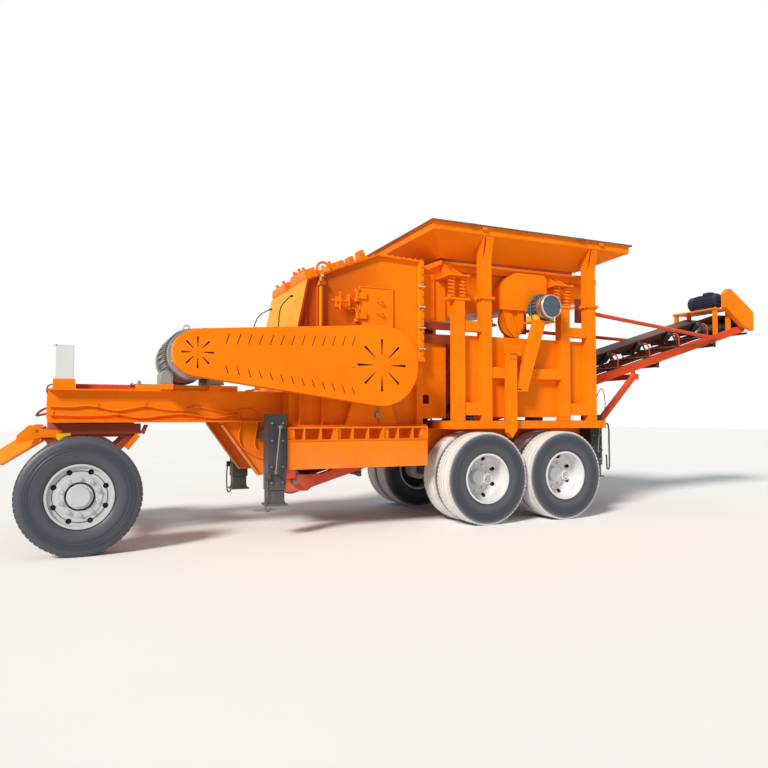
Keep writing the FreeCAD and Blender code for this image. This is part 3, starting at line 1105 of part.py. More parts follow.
def support_legs():
    half = LEG_HOUSING_SIZE / 2
    rows = (("front", LEG_FRONT_X, LEG_FRONT_Y, LEG_FRONT_FOOT_Z),
            ("rear", LEG_REAR_X, LEG_REAR_Y, LEG_REAR_FOOT_Z))
    housings = []
    for name, x, y, foot in rows:
        low = foot + LEG_HOUSING_LOW
        outer = box(x - half, x + half, -y - half, -y + half, low, LEG_HOUSING_TOP)
        inner = half - LEG_WALL
        hollow = box(x - inner, x + inner, -y - inner, -y + inner, low - 5, LEG_HOUSING_TOP - LEG_WALL)
        body = outer.cut(hollow)
        if name == "front":
            bracket = [box(x + half, GIRDER_FRONT_X, -y - 80, -y + 80, GIRDER_BOTTOM + 30, GIRDER_TOP - 30),
                       box(x - half, x + half, -y + half, -RAIL_Y - PLATE / 2, RAIL_TOP - 100, RAIL_TOP)]
        else:
            bracket = [box(x - half, x + half, -y + half, -RAIL_Y - RAIL_FLANGE / 2, RAIL_BOTTOM, RAIL_TOP)]
        housings.append(joined([body] + bracket))
        for side_name, side in (("near", -1), ("far", 1)):
            cy = side * y
            size = inner - LEG_CLEARANCE
            tube = box(x - size, x + size, cy - size, cy + size, foot + 20, LEG_HOUSING_TOP - 90)
            bore = box(x - size + LEG_WALL, x + size - LEG_WALL, cy - size + LEG_WALL, cy + size - LEG_WALL,
                       foot + 20, LEG_HOUSING_TOP)
            plate = LEG_FOOT_SIZE / 2
            foot_plate = box(x - plate, x + plate, cy - plate, cy + plate, foot, foot + 20)
            gussets = [side_plate([(x + s * size, foot + 20), (x + s * plate, foot + 20),
                                   (x + s * size, foot + 100)],
                                  cy - 8, cy + 8) for s in (-1, 1)]
            save(f"leg_{name}_{side_name}", [joined([tube.cut(bore), foot_plate] + gussets)])
    save("leg_housings", both_sides(housings))


# Dolly

def dolly():
    top = NECK_BOTTOM - TURNTABLE_PLATE
    low_plate_top = top - RUNNING_CLEARANCE
    low_plate = low_plate_top - TURNTABLE_PLATE
    frame_low = low_plate - DOLLY_BEAM
    disc = Part.makeCylinder(TURNTABLE_RADIUS, TURNTABLE_PLATE, Vector(KINGPIN_X, 0, top))
    pin = Part.makeCylinder(KINGPIN_RADIUS, NECK_BOTTOM - frame_low, Vector(KINGPIN_X, 0, frame_low))
    inner = RAIL_Y - NECK_FLANGE / 2
    bearer = box(KINGPIN_X - 400, KINGPIN_X + 400, -inner, inner, NECK_BOTTOM, NECK_BOTTOM + 40)
    save("turntable", [joined([disc, pin, bearer])])

    x0, x1 = KINGPIN_X - 470, KINGPIN_X + TURNTABLE_RADIUS
    w, b = DOLLY_HALF_WIDTH, DOLLY_BEAM
    lower_disc = Part.makeCylinder(TURNTABLE_RADIUS, TURNTABLE_PLATE, Vector(KINGPIN_X, 0, low_plate))
    frame = [box(x0, x1, y, y + b, frame_low, low_plate) for y in (-w, w - b)]
    frame += [box(x, x + b, -w + b, w - b, frame_low, low_plate) for x in (x0, x1 - b)]
    frame.append(box(KINGPIN_X - 100, KINGPIN_X + 100, -w + b, w - b, frame_low, low_plate))
    hole = Part.makeCylinder(KINGPIN_RADIUS + RUNNING_CLEARANCE, 400, Vector(KINGPIN_X, 0, frame_low - 50))
    seat_top = WHEEL_RADIUS + AXLE_SIZE / 2 + 90
    seat = box(FRONT_AXLE_X - 110, FRONT_AXLE_X + 110, -w, w, seat_top - 90, seat_top)
    struts = []
    for x_top, x_low in ((x0 + 40, FRONT_AXLE_X - 70), (x1 - 40, FRONT_AXLE_X + 70)):
        struts.append(bar((x_top, -w + b / 2, frame_low + 20), (x_low, -w + b / 2, seat_top - 20),
                          DOLLY_STRUT, DOLLY_STRUT))
    save("dolly_frame", [joined([lower_disc, seat] + frame + both_sides(struts)).cut(hole)])

    eye_x = TOW_TIP_X + TOW_EYE_RADIUS
    eye = Part.makeCylinder(TOW_EYE_RADIUS, TOW_EYE_HEIGHT, Vector(eye_x, 0, TOW_EYE_Z - TOW_EYE_HEIGHT / 2))
    start_z = (frame_low + low_plate) / 2
    arms = [bar((x0 - 2, s * (w - TOW_ARM_WIDTH / 2), start_z), (eye_x + 40, s * 30, TOW_EYE_Z), TOW_ARM_WIDTH,
                TOW_ARM_HEIGHT) for s in (-1, 1)]
    knee = side_plate([(x0 + 190, low_plate), (x0 + 20, low_plate), (x0 - 40, low_plate_top + 10),
                       (x0 - 120, low_plate_top + 10), (x0 - 225, start_z - 20), (x0 - 225, start_z - 100),
                       (x0, frame_low), (x0 + 190, frame_low)], -w - 14, -w)
    tie = box(x0 - 200, x0 - 150, -w + 210, w - 210, start_z - 170, start_z - 70)
    bore = Part.makeCylinder(TOW_EYE_BORE / 2, 300, Vector(eye_x, 0, TOW_EYE_Z - 150))
    room = box(x0, x0 + 400, -w - 100, w + 100, 800, NECK_TOP)
    save("tow_arm", [joined([joined(arms + [eye, tie]).cut(bore).cut(room)] + both_sides([knee]))])


def main():
    os.makedirs("parts", exist_ok=True)
    running_gear()
    gooseneck()
    main_rails()
    cross_beams()
    side_sills()
    side_girders()
    front_post()
    drive()
    belt_guard()
    crusher()
    apron_adjusters()
    feed_chute()
    feeder_frame()
    hopper()
    feeder()
    feeder_drive()
    conveyor_frame()
    conveyor_belt()
    conveyor_idlers()
    conveyor_drums()
    conveyor_drive()
    conveyor_stays()
    support_legs()
    dolly()


main()
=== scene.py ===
"""Finishes, fittings and studio of a portable rock crusher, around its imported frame.

Lengths are in metres. X runs towards the discharge end of the conveyor, the near side with the
belt guard is at -Y, and Z is up from the ground. Places along the machine are measured from
the first rear axle, as spot() says.
"""
import json
import math

import bmesh
import bpy
from bpy.props import FloatProperty, FloatVectorProperty, IntProperty, PointerProperty
from mathutils import Matrix, Vector


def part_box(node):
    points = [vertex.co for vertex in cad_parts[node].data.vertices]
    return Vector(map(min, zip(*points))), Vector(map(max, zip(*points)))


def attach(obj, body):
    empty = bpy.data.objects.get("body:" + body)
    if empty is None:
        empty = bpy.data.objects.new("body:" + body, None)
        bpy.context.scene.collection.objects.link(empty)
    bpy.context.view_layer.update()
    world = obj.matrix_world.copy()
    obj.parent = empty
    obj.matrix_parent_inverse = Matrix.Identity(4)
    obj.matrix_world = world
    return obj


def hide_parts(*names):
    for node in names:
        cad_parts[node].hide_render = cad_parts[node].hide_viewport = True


bl_info = {
    "name": "Rock Crusher Finishes",
    "version": (1, 0, 0),
    "blender": (4, 5, 0),
    "location": "3D View > Sidebar > Crusher",
    "description": "Dresses a portable rock crusher with paint, tyres, fasteners and fittings",
    "category": "Object",
}

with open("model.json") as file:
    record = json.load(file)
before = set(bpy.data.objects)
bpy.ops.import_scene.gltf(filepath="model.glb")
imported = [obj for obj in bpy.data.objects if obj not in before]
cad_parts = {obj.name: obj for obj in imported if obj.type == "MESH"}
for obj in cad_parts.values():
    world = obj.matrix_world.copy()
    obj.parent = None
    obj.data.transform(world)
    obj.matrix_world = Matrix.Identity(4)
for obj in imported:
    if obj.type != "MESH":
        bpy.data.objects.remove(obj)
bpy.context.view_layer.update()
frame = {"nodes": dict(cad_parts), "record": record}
SHARP_ANGLE = math.radians(32)
UP = Vector((0, 0, 1))
ALONG = Vector((1, 0, 0))
NEAR = Vector((0, -1, 0))


def middle(node):
    low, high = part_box(node)
    return (low + high) / 2


AXLE_X = middle("rear_wheel_a_near_rims").x
WHEEL_Z = middle("rear_wheel_a_near_rims").z


def spot(x, y, z):
    """A place in the frame, with x measured from the first rear axle."""
    return Vector((AXLE_X + x, y, z))


# Places of the frame that the fittings sit on, in the same measure
GUARD_Y = -1.15
WALL_Y = 0.75
FLANGE_Y = 0.795
SPLIT_Z = 2.03
SHOULDER = (-2.16, 2.90)
PEAK = (-1.27, 3.28)
ROOF_REAR = (-0.64, 3.255)
NECK_WEB_Y = -0.507
NECK_LOW = 1.25
KINGPIN_X = -4.40
NECK_TOP = 1.60
POSTS = {"a": -0.32, "b": 0.075, "c": 1.31, "d": 1.755}
POST_WIDTH = 0.145
POST_Y = 1.0
SPLICE_Z = 2.80
MOTOR = (-3.43, 1.97)
ROTOR = (-1.37, 1.90)
FEED_MOTOR = (1.0, 2.735)
STRINGER_Y = 0.42
HEAD_X = 5.54
LEGS = {"leg_front_near": (-2.56, -0.93, 0.35), "leg_front_far": (-2.56, 0.93, 0.35),
        "leg_rear_near": (2.09, -0.665, 0.47), "leg_rear_far": (2.09, 0.665, 0.47)}

# The most dust on a front tyre, and the nodes whose coat differs from their slot's paint
CLEAN_FRONT = 0.04
# The housing's coat carries painted light on its front and painted shade on its side
COATS = {"crusher_upper_housing": "housing_orange", "conveyor_frame": "red_orange",
         "conveyor_stays": "red_orange", "drive_pulleys": "cable_black"}


def stringer_z(x):
    """The lower edge of the conveyor's sloping stringers."""
    return 1.06 + 0.30 * x


# Sizes and colours that a user would change

def colour_value(label, text, value):
    return FloatVectorProperty(name=label, description=text, subtype="COLOR", size=3, min=0, max=1,
                               default=value)


def length(label, text, value):
    return FloatProperty(name=label, description=text, default=value, min=0.0, unit="LENGTH")


def share(label, text, value):
    return FloatProperty(name=label, description=text, default=value, min=0.0, max=1.0,
                         subtype="FACTOR")


class PaintSettings(bpy.types.PropertyGroup):
    orange: colour_value("Orange enamel", "Main paint", (0.98, 0.215, 0.004))
    # A darker, redder copy of the orange, used on the struts and conveyor frame, and as painted shade on
    # the deck edge
    red_orange: colour_value("Red orange", "Darker, redder orange of the struts, and painted shade on the deck edge", (0.70, 0.075, 0.018))
    # Painted light and shade of the crusher's housing: a lit yellow for its front faces, and a darker,
    # redder tone for its side by the column
    lit_front_plate: colour_value("Lit front plate", "Painted light on the crusher's front plate", (0.98, 0.36, 0.004))
    painted_side_shade: colour_value("Side shade", "Painted shade on the crusher's side", (0.42, 0.045, 0.010))
    yellow: colour_value("Yellow", "Paint of small brackets", (0.95, 0.50, 0.005))
    dark_red: colour_value("Old red", "Paint of the dolly and the inner beams", (0.30, 0.055, 0.025))
    charcoal: colour_value("Charcoal", "Paint of the support legs", (0.045, 0.045, 0.05))
    axle: colour_value("Axle black", "Paint of axles and springs", (0.03, 0.028, 0.027))
    pale_grey: colour_value("Pale grey", "Primer of the front post", (0.66, 0.68, 0.68))
    motor_grey: colour_value("Motor grey", "Paint of the drive motor", (0.30, 0.29, 0.28))
    motor_slate: colour_value("Motor slate", "Paint of the feeder motor", (0.10, 0.13, 0.17))
    motor_navy: colour_value("Motor navy", "Paint of the conveyor motor", (0.02, 0.025, 0.05))
    silver: colour_value("Wheel silver", "Paint of the front rims", (0.52, 0.53, 0.56))
    white: colour_value("Wheel white", "Paint of the rear rims", (0.74, 0.74, 0.76))
    rubber: colour_value("Tyre rubber", "Clean rubber of the tyres", (0.028, 0.033, 0.052))
    belt: colour_value("Belt rubber", "Rubber of the conveyor belt", (0.085, 0.032, 0.020))
    dust: colour_value("Dust", "Pale stone dust", (0.60, 0.56, 0.50))
    road_dust: colour_value("Road dust", "Dust on the treads", (0.86, 0.85, 0.84))
    rust: colour_value("Rust", "Rust where the paint is gone", (0.16, 0.05, 0.02))
    wear: share("Wear", "Share of the edges whose paint is worn", 0.35)
    dusting: share("Dusting", "How much dust lies on the machine", 0.24)


class TyreSettings(bpy.types.PropertyGroup):
    groove: length("Groove depth", "Depth of the grooves round the tread", 0.013)
    groove_width: length("Groove width", "Width of the grooves round the tread", 0.011)
    zigzag: length("Zigzag", "How far the grooves swing to each side", 0.003)
    blocks: IntProperty(name="Shoulder blocks", description="Blocks round one shoulder", default=66)
    nut: length("Wheel nut", "Width of a wheel nut across its flats", 0.033)
    nut_circle: length("Nut circle", "Radius of the circle of wheel nuts", 0.1675)


class FittingSettings(bpy.types.PropertyGroup):
    bolt: length("Bolt", "Width of a frame bolt's head across its flats", 0.036)
    small_bolt: length("Small bolt", "Width of a cover bolt's head across its flats", 0.022)
    conduit: length("Conduit", "Outer radius of the cable conduits", 0.0125)
    spring_wire: length("Spring wire", "Radius of the feeder springs' wire", 0.011)
    coils: FloatProperty(name="Coils", description="Turns of one feeder spring", default=5.5)


class StageSettings(bpy.types.PropertyGroup):
    azimuth: FloatProperty(name="Azimuth", description="Turn of the view towards +X from +Y",
                           default=math.radians(24.15), subtype="ANGLE")
    pitch: FloatProperty(name="Pitch", description="How far the view points above the horizon",
                         default=math.radians(2.79), subtype="ANGLE")
    focal: FloatProperty(name="Focal length", description="Of a 36 mm wide sensor, in mm", default=31.5)
    reach: length("Distance", "From the camera to the middle plane", 8.17)
    height: length("Height", "Of the camera", 1.311)
    aim_x: FloatProperty(name="Camera X", description="From the first rear axle", default=-4.494,
                         unit="LENGTH")
    floor: colour_value("Floor", "Floor and backdrop", (0.97, 0.97, 0.97))
    key: FloatProperty(name="Key light", description="Strength of the sun lamp", default=3.5)
    fill: FloatProperty(name="Fill light", description="Strength of the surroundings", default=0.34)


SETTINGS = (("crusher_paint", PaintSettings), ("crusher_tyres", TyreSettings),
            ("crusher_fittings", FittingSettings), ("crusher_stage", StageSettings))


# Building meshes

def across(axis):
    """Two unit vectors square to an axis and to each other."""
    axis = Vector(axis).normalized()
    side = axis.cross(UP if abs(axis.z) < 0.9 else Vector((0, 1, 0))).normalized()
    return side, axis.cross(side)


def circle(centre, axis, radius, sides, start=0.0):
    side, other = across(axis)
    angles = (start + 2 * math.pi * i / sides for i in range(sides))
    return [centre + radius * (math.cos(a) * side + math.sin(a) * other) for a in angles]


def smooth_path(points, steps=6):
    """Points on a smooth curve through all the given ones."""
    points = [Vector(p) for p in points]
    line = [2 * points[0] - points[1]] + points + [2 * points[-1] - points[-2]]
    path = []
    for a, b, c, d in zip(line, line[1:], line[2:], line[3:]):
        for i in range(steps):
            t = i / steps
            path.append(0.5 * (2 * b + (c - a) * t + (2 * a - 5 * b + 4 * c - d) * t * t
                               + (3 * b - 3 * c + d - a) * t ** 3))
    return path + [points[-1]]


class Form:
    """Gathers closed forms into one mesh. What is added next gets the finish numbered mark."""

    def __init__(self):
        self.points, self.faces, self.marks, self.mark = [], [], [], 0

    def skin(self, rings, looped=False):
        """Joins equal rings of points, and caps the first and last unless they are looped."""
        first, count = len(self.points), len(rings[0])
        for ring in rings:
            self.points += [tuple(p) for p in ring]
        for i in range(len(rings) if looped else len(rings) - 1):
            a, b = first + i * count, first + (i + 1) % len(rings) * count
            for j in range(count):
                k = (j + 1) % count
                self.faces.append((a + j, a + k, b + k, b + j))
        if not looped:
            last = first + (len(rings) - 1) * count
            self.faces += [tuple(range(first, first + count)), tuple(range(last, last + count))]
        self.marks += [self.mark] * (len(self.faces) - len(self.marks))

    def prism(self, outline, run):
        run = Vector(run)
        self.skin([[Vector(p) for p in outline], [Vector(p) + run for p in outline]])

    def block(self, low, high):
        (x0, y0, z0), (x1, y1, z1) = low, high
        self.prism([(x0, y0, z0), (x1, y0, z0), (x1, y1, z0), (x0, y1, z0)], (0, 0, z1 - z0))

    def rod(self, start, end, radius, sides=12, tip=None):
        start, end = Vector(start), Vector(end)
        axis = end - start
        tip = radius if tip is None else tip
        self.skin([circle(start, axis, radius, sides), circle(end, axis, tip, sides)])

    def lathe(self, profile, centre, axis, sides=32):
        """Turns a profile of (distance along the axis, radius), joined by lines, about the axis."""
        axis = Vector(axis).normalized()
        self.skin([circle(Vector(centre) + axis * a, axis, max(r, 0.0002), sides) for a, r in profile])

    def ring(self, profile, centre, axis, sides=32):
        """Turns a closed profile about the axis, for a ring with a hole."""
        axis = Vector(axis).normalized()
        rings = [circle(Vector(centre) + axis * a, axis, r, sides) for a, r in profile]
        self.skin(rings, looped=True)

    def pipe(self, path, radius, sides=8, looped=False):
        """A round section led along a path of points."""
        path = [Vector(p) for p in path]
        ends = [path[-1]] + path + [path[0]] if looped else [path[0]] + path + [path[-1]]
        side, rings = None, []
        for before, here, after in zip(ends, path, ends[2:]):
            run = (after - before).normalized()
            side = across(run)[0] if side is None else (side - run * side.dot(run)).normalized()
            other = run.cross(side)
            angles = (2 * math.pi * i / sides for i in range(sides))
            rings.append([here + radius * (math.cos(a) * side + math.sin(a) * other) for a in angles])
        self.skin(rings, looped)

    def nut(self, centre, axis, flats, height):
        axis = Vector(axis).normalized()
        centre = Vector(centre)
        corner = flats / math.sqrt(3)
        rings = ((0, corner), (height * 0.85, corner), (height, corner * 0.86))
        self.skin([circle(centre + axis * h, axis, r, 6) for h, r in rings])

    def mesh(self, name, materials=()):
        mesh = bpy.data.meshes.new(name)
        mesh.from_pydata(self.points, [], self.faces)
        for material in materials:
            mesh.materials.append(material)
        mesh.polygons.foreach_set("material_index", self.marks)
        work = bmesh.new()
        work.from_mesh(mesh)
        bmesh.ops.recalc_face_normals(work, faces=work.faces)
        work.to_mesh(mesh)
        work.free()
        return mesh

    def piece(self, name, body, slots, bevel=0.0):
        """Makes the piece, finished with the named paints, and rides it on its body."""
        mesh = self.mesh(name, [finish(slot) for slot in slots])
        return seat(mesh, name, body, bevel)


def seat(mesh, name, body, bevel=0.0):
    """Puts a finished mesh in the scene as a piece of a body."""
    mesh.shade_smooth()
    mesh.set_sharp_from_angle(angle=SHARP_ANGLE)
    piece = bpy.data.objects.new(name, mesh)
    bpy.context.collection.objects.link(piece)
    if bevel:
        rounding = piece.modifiers.new("Rounded edges", "BEVEL")
        rounding.width = bevel
        rounding.segments = 2
        rounding.limit_method = "ANGLE"
        rounding.angle_limit = SHARP_ANGLE
        rounding.harden_normals = True
    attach(piece, body)
    return piece


# Geometry Nodes

def geometry_tree(name, sizes):
    """A Geometry Nodes tree with a geometry and named sizes going in, and its start and end."""
    tree = bpy.data.node_groups.new(name, "GeometryNodeTree")
    tree.interface.new_socket("Geometry", in_out="INPUT", socket_type="NodeSocketGeometry")
    for label, value in sizes:
        kind = "NodeSocketInt" if isinstance(value, int) else "NodeSocketFloat"
        tree.interface.new_socket(label, in_out="INPUT", socket_type=kind).default_value = value
    tree.interface.new_socket("Material", in_out="INPUT", socket_type="NodeSocketMaterial")
    tree.interface.new_socket("Geometry", in_out="OUTPUT", socket_type="NodeSocketGeometry")
    return tree, tree.nodes.new("NodeGroupInput"), tree.nodes.new("NodeGroupOutput")


def node(tree, kind, inputs=None, **settings):
    """Adds a node; an input given as a socket is linked, and any other is set."""
    made = tree.nodes.new(kind)
    for key, value in settings.items():
        setattr(made, key, value)
    for key, value in (inputs or {}).items():
        if isinstance(value, bpy.types.NodeSocket):
            tree.links.new(value, made.inputs[key])
        else:
            made.inputs[key].default_value = value
    return made


def maths(tree, operation, a, b=0.0):
    return node(tree, "ShaderNodeMath", {0: a, 1: b}, operation=operation).outputs[0]


def close_tree(tree, end, shapes, material):
    """Joins the shapes, makes instances real, sets the material and ends the tree."""
    join = tree.nodes.new("GeometryNodeJoinGeometry")
    for shape in shapes:
        tree.links.new(shape, join.inputs[0])
    real = node(tree, "GeometryNodeRealizeInstances", {0: join.outputs[0]})
    painted = node(tree, "GeometryNodeSetMaterial", {"Geometry": real.outputs[0], "Material": material})
    tree.links.new(painted.outputs[0], end.inputs[0])


def grown(mesh, tree, sizes, material):
    """Runs a tree on a mesh and returns the plain mesh that comes out."""
    holder = bpy.data.objects.new("holder", mesh)
    bpy.context.collection.objects.link(holder)
    modifier = holder.modifiers.new("Growth", "NODES")
    modifier.node_group = tree
    for item in tree.interface.items_tree:
        if item.in_out == "INPUT" and item.name in sizes:
            modifier[item.identifier] = sizes[item.name]
        elif item.in_out == "INPUT" and item.name == "Material":
            modifier[item.identifier] = material
    graph = bpy.context.evaluated_depsgraph_get()
    result = bpy.data.meshes.new_from_object(holder.evaluated_get(graph))
    bpy.data.objects.remove(holder)
    return result


def bolt_tree():
    """A hexagon head on a washer at each point, facing as the point's attribute says."""
    tree, start, end = geometry_tree("Bolt heads", (("Across flats", 0.03), ("Height", 0.018),
                                                    ("Washer", 0.004)))
    corner = maths(tree, "DIVIDE", start.outputs["Across flats"], math.sqrt(3))
    half = maths(tree, "MULTIPLY", start.outputs["Height"], 0.5)
    lift = maths(tree, "ADD", start.outputs["Washer"], half)
    head = node(tree, "GeometryNodeMeshCylinder", {"Vertices": 6, "Radius": corner,
                                                   "Depth": start.outputs["Height"]})
    raised = node(tree, "GeometryNodeTransform", {
        "Geometry": head.outputs[0],
        "Translation": node(tree, "ShaderNodeCombineXYZ", {2: lift}).outputs[0]})
    washer = node(tree, "GeometryNodeMeshCylinder", {
        "Vertices": 14, "Radius": maths(tree, "MULTIPLY", corner, 1.22),
        "Depth": maths(tree, "MULTIPLY", start.outputs["Washer"], 2.0)})
    both = tree.nodes.new("GeometryNodeJoinGeometry")
    for shape in (raised, washer):
        tree.links.new(shape.outputs[0], both.inputs[0])
    facing = node(tree, "GeometryNodeInputNamedAttribute", {"Name": "facing"}, data_type="FLOAT_VECTOR")
    turn = node(tree, "FunctionNodeAlignRotationToVector", {"Vector": facing.outputs[0]}, axis="Z")
    heads = node(tree, "GeometryNodeInstanceOnPoints", {
        "Points": start.outputs["Geometry"], "Instance": both.outputs[0], "Rotation": turn.outputs[0]})
    close_tree(tree, end, [heads.outputs[0]], start.outputs["Material"])
    return tree


def shoulder_tree():
    """A tyre with a row of tread blocks round each shoulder."""
    tree, start, end = geometry_tree("Shoulder blocks", (
        ("Blocks", 60), ("Radius", 0.55), ("Offset", 0.11), ("Length", 0.04), ("Width", 0.03),
        ("Depth", 0.01), ("Skew", 0.2)))
    size = node(tree, "ShaderNodeCombineXYZ", {0: start.outputs["Length"], 1: start.outputs["Width"],
                                               2: start.outputs["Depth"]})
    block = node(tree, "GeometryNodeMeshCube", {"Size": size.outputs[0]})
    rim = node(tree, "GeometryNodeMeshCircle", {"Vertices": start.outputs["Blocks"],
                                                "Radius": start.outputs["Radius"]})
    upright = node(tree, "GeometryNodeTransform", {"Geometry": rim.outputs[0],
                                                   "Rotation": (math.pi / 2, 0, 0)})
    place = tree.nodes.new("GeometryNodeInputPosition")
    turn = node(tree, "FunctionNodeAlignRotationToVector", {"Vector": place.outputs[0]},
                axis="Z", pivot_axis="Y")
    row = node(tree, "GeometryNodeInstanceOnPoints", {
        "Points": upright.outputs[0], "Instance": block.outputs[0], "Rotation": turn.outputs[0]})
    rows = [start.outputs["Geometry"]]
    for side in (-1, 1):
        lean = maths(tree, "MULTIPLY", start.outputs["Skew"], side)
        skewed = node(tree, "GeometryNodeRotateInstances", {
            "Instances": row.outputs[0],
            "Rotation": node(tree, "ShaderNodeCombineXYZ", {2: lean}).outputs[0]})
        offset = maths(tree, "MULTIPLY", start.outputs["Offset"], side)
        moved = node(tree, "GeometryNodeTransform", {
            "Geometry": skewed.outputs[0],
            "Translation": node(tree, "ShaderNodeCombineXYZ", {1: offset}).outputs[0]})
        rows.append(moved.outputs[0])
    close_tree(tree, end, rows, start.outputs["Material"])
    return tree


def coil_tree():
    """A coil of round wire standing on each point."""
    tree, start, end = geometry_tree("Coil springs", (("Coils", 5.0), ("Radius", 0.05), ("Wire", 0.01),
                                                      ("Height", 0.27)))
    spiral = node(tree, "GeometryNodeCurveSpiral", {
        "Resolution": 18, "Rotations": start.outputs["Coils"], "Start Radius": start.outputs["Radius"],
        "End Radius": start.outputs["Radius"], "Height": start.outputs["Height"]})
    wire = node(tree, "GeometryNodeCurvePrimitiveCircle", {"Resolution": 8,
                                                           "Radius": start.outputs["Wire"]})
    coil = node(tree, "GeometryNodeCurveToMesh", {
        "Curve": spiral.outputs[0], "Profile Curve": wire.outputs[0], "Fill Caps": True})
    coils = node(tree, "GeometryNodeInstanceOnPoints", {"Points": start.outputs["Geometry"],
                                                        "Instance": coil.outputs[0]})
    close_tree(tree, end, [coils.outputs[0]], start.outputs["Material"])
    return tree


def point_mesh(name, rows):
    """A mesh of loose points, each with the way that it faces."""
    mesh = bpy.data.meshes.new(name)
    mesh.from_pydata([tuple(place) for place, facing in rows], [], [])
    facing = mesh.attributes.new("facing", "FLOAT_VECTOR", "POINT")
    facing.data.foreach_set("vector", [value for row in rows for value in row[1]])
    return mesh


# Finishes

def mixed(tree, share_socket, a, b, blend="MIX"):
    mix = node(tree, "ShaderNodeMix", {0: share_socket}, data_type="RGBA", blend_type=blend)
    for index, value in ((6, a), (7, b)):
        if isinstance(value, bpy.types.NodeSocket):
            tree.links.new(value, mix.inputs[index])
        else:
            mix.inputs[index].default_value = (*value[:3], 1)
    return mix.outputs[2]


def spread(tree, value, low, high, to_low=0.0, to_high=1.0):
    """The value spread from one range to another, and held inside it."""
    return node(tree, "ShaderNodeMapRange", {0: value, 1: low, 2: high, 3: to_low, 4: to_high}).outputs[0]


def noise(tree, vector, scale, detail=3.0, roughness=0.55):
    return node(tree, "ShaderNodeTexNoise", {"Vector": vector, "Scale": scale, "Detail": detail,
                                             "Roughness": roughness}).outputs[0]


def shader_group(name, inputs, outputs):
    """A shader node group with named inputs and outputs, and its object coordinates."""
    tree = bpy.data.node_groups.new(name, "ShaderNodeTree")
    for label, value in inputs:
        socket = tree.interface.new_socket(label, in_out="INPUT", socket_type="NodeSocketFloat")
        socket.default_value = value
    for label, kind in outputs:
        tree.interface.new_socket(label, in_out="OUTPUT", socket_type="NodeSocket" + kind)
    place = tree.nodes.new("ShaderNodeTexCoord").outputs["Object"]
    return tree, tree.nodes.new("NodeGroupInput"), tree.nodes.new("NodeGroupOutput"), place


def edge_group():
    """Where edges are worn, and a normal that rounds them."""
    tree, start, end, place = shader_group(
        "Edge wear", (("Width", 0.006), ("Amount", 0.4), ("Patch scale", 5.0)),
        (("Mask", "Float"), ("Normal", "Vector")))
    bevel = node(tree, "ShaderNodeBevel", {"Radius": start.outputs["Width"]}, samples=4)
    plain = tree.nodes.new("ShaderNodeNewGeometry")
    dot = node(tree, "ShaderNodeVectorMath", {0: bevel.outputs[0], 1: plain.outputs["Normal"]},
               operation="DOT_PRODUCT").outputs["Value"]
    edge = spread(tree, maths(tree, "SUBTRACT", 1.0, dot), 0.02, 0.20)
    patch = noise(tree, place, start.outputs["Patch scale"], 6.0, 0.7)
    limit = maths(tree, "SUBTRACT", 0.78, maths(tree, "MULTIPLY", start.outputs["Amount"], 0.35))
    worn = spread(tree, patch, limit, maths(tree, "ADD", limit, 0.06))
    tree.links.new(maths(tree, "MULTIPLY", edge, worn), end.inputs["Mask"])
    tree.links.new(bevel.outputs[0], end.inputs["Normal"])
    return tree


def dust_group():
    """Where dust lies: on top faces, and low down where the wheels throw it."""
    tree, start, end, place = shader_group(
        "Stone dust", (("Settled", 0.5), ("Thrown", 0.3), ("Height", 1.1)), (("Mask", "Float"),))
    plain = tree.nodes.new("ShaderNodeNewGeometry")
    normal_z = node(tree, "ShaderNodeSeparateXYZ", {0: plain.outputs["Normal"]}).outputs[2]
    place_z = node(tree, "ShaderNodeSeparateXYZ", {0: place}).outputs[2]
    top = maths(tree, "MULTIPLY", spread(tree, normal_z, 0.3, 0.95), start.outputs["Settled"])
    nearness = spread(tree, place_z, start.outputs["Height"], 0.3)
    low = maths(tree, "MULTIPLY", nearness, start.outputs["Thrown"])
    cloud = spread(tree, noise(tree, place, 3.2, 6.0, 0.65), 0.32, 0.72, 0.25, 1.0)
    fine = spread(tree, noise(tree, place, 60.0, 3.0, 0.7), 0.25, 0.75, 0.55, 1.0)
    total = maths(tree, "MULTIPLY", maths(tree, "ADD", top, low), maths(tree, "MULTIPLY", cloud, fine))
    tree.links.new(spread(tree, total, 0.0, 1.0), end.inputs["Mask"])
    return tree


def grain_group():
    """The height of a brushed or sprayed coat: waves of the plate, and fine orange peel."""
    tree, start, end, place = shader_group(
        "Coat grain", (("Scale", 220.0), ("Waves", 0.6)), (("Height", "Float"), ("Tone", "Float")))
    fine = noise(tree, place, start.outputs["Scale"], 2.0)
    wave = maths(tree, "MULTIPLY", noise(tree, place, 4.0, 2.0), start.outputs["Waves"])
    tree.links.new(maths(tree, "ADD", maths(tree, "MULTIPLY", fine, 0.08), wave), end.inputs["Height"])
    tree.links.new(noise(tree, place, 1.1, 5.0, 0.6), end.inputs["Tone"])
    return tree


def streak_group():
    """Streaks that rain draws down the sides."""
    tree, start, end, place = shader_group("Rain streaks", (("Amount", 0.3),), (("Mask", "Float"),))
    drawn = node(tree, "ShaderNodeMapping", {"Vector": place, "Scale": (14.0, 14.0, 0.9)}).outputs[0]
    lines = spread(tree, noise(tree, drawn, 1.0, 5.0, 0.6), 0.52, 0.75)
    broken = spread(tree, noise(tree, place, 1.7, 3.0), 0.42, 0.65)
    total = maths(tree, "MULTIPLY", maths(tree, "MULTIPLY", lines, broken), start.outputs["Amount"])
    tree.links.new(total, end.inputs["Mask"])
    return tree


GROUPS, FINISHES = {}, {}


def placed(tree, key, **values):
    """Places one of the shared groups in a material with its own values."""
    makers = {"edge": edge_group, "dust": dust_group, "grain": grain_group, "streak": streak_group}
    if key not in GROUPS:
        GROUPS[key] = makers[key]()
    group = tree.nodes.new("ShaderNodeGroup")
    group.node_tree = GROUPS[key]
    for label, value in values.items():
        group.inputs[label.replace("_", " ")].default_value = value
    return group


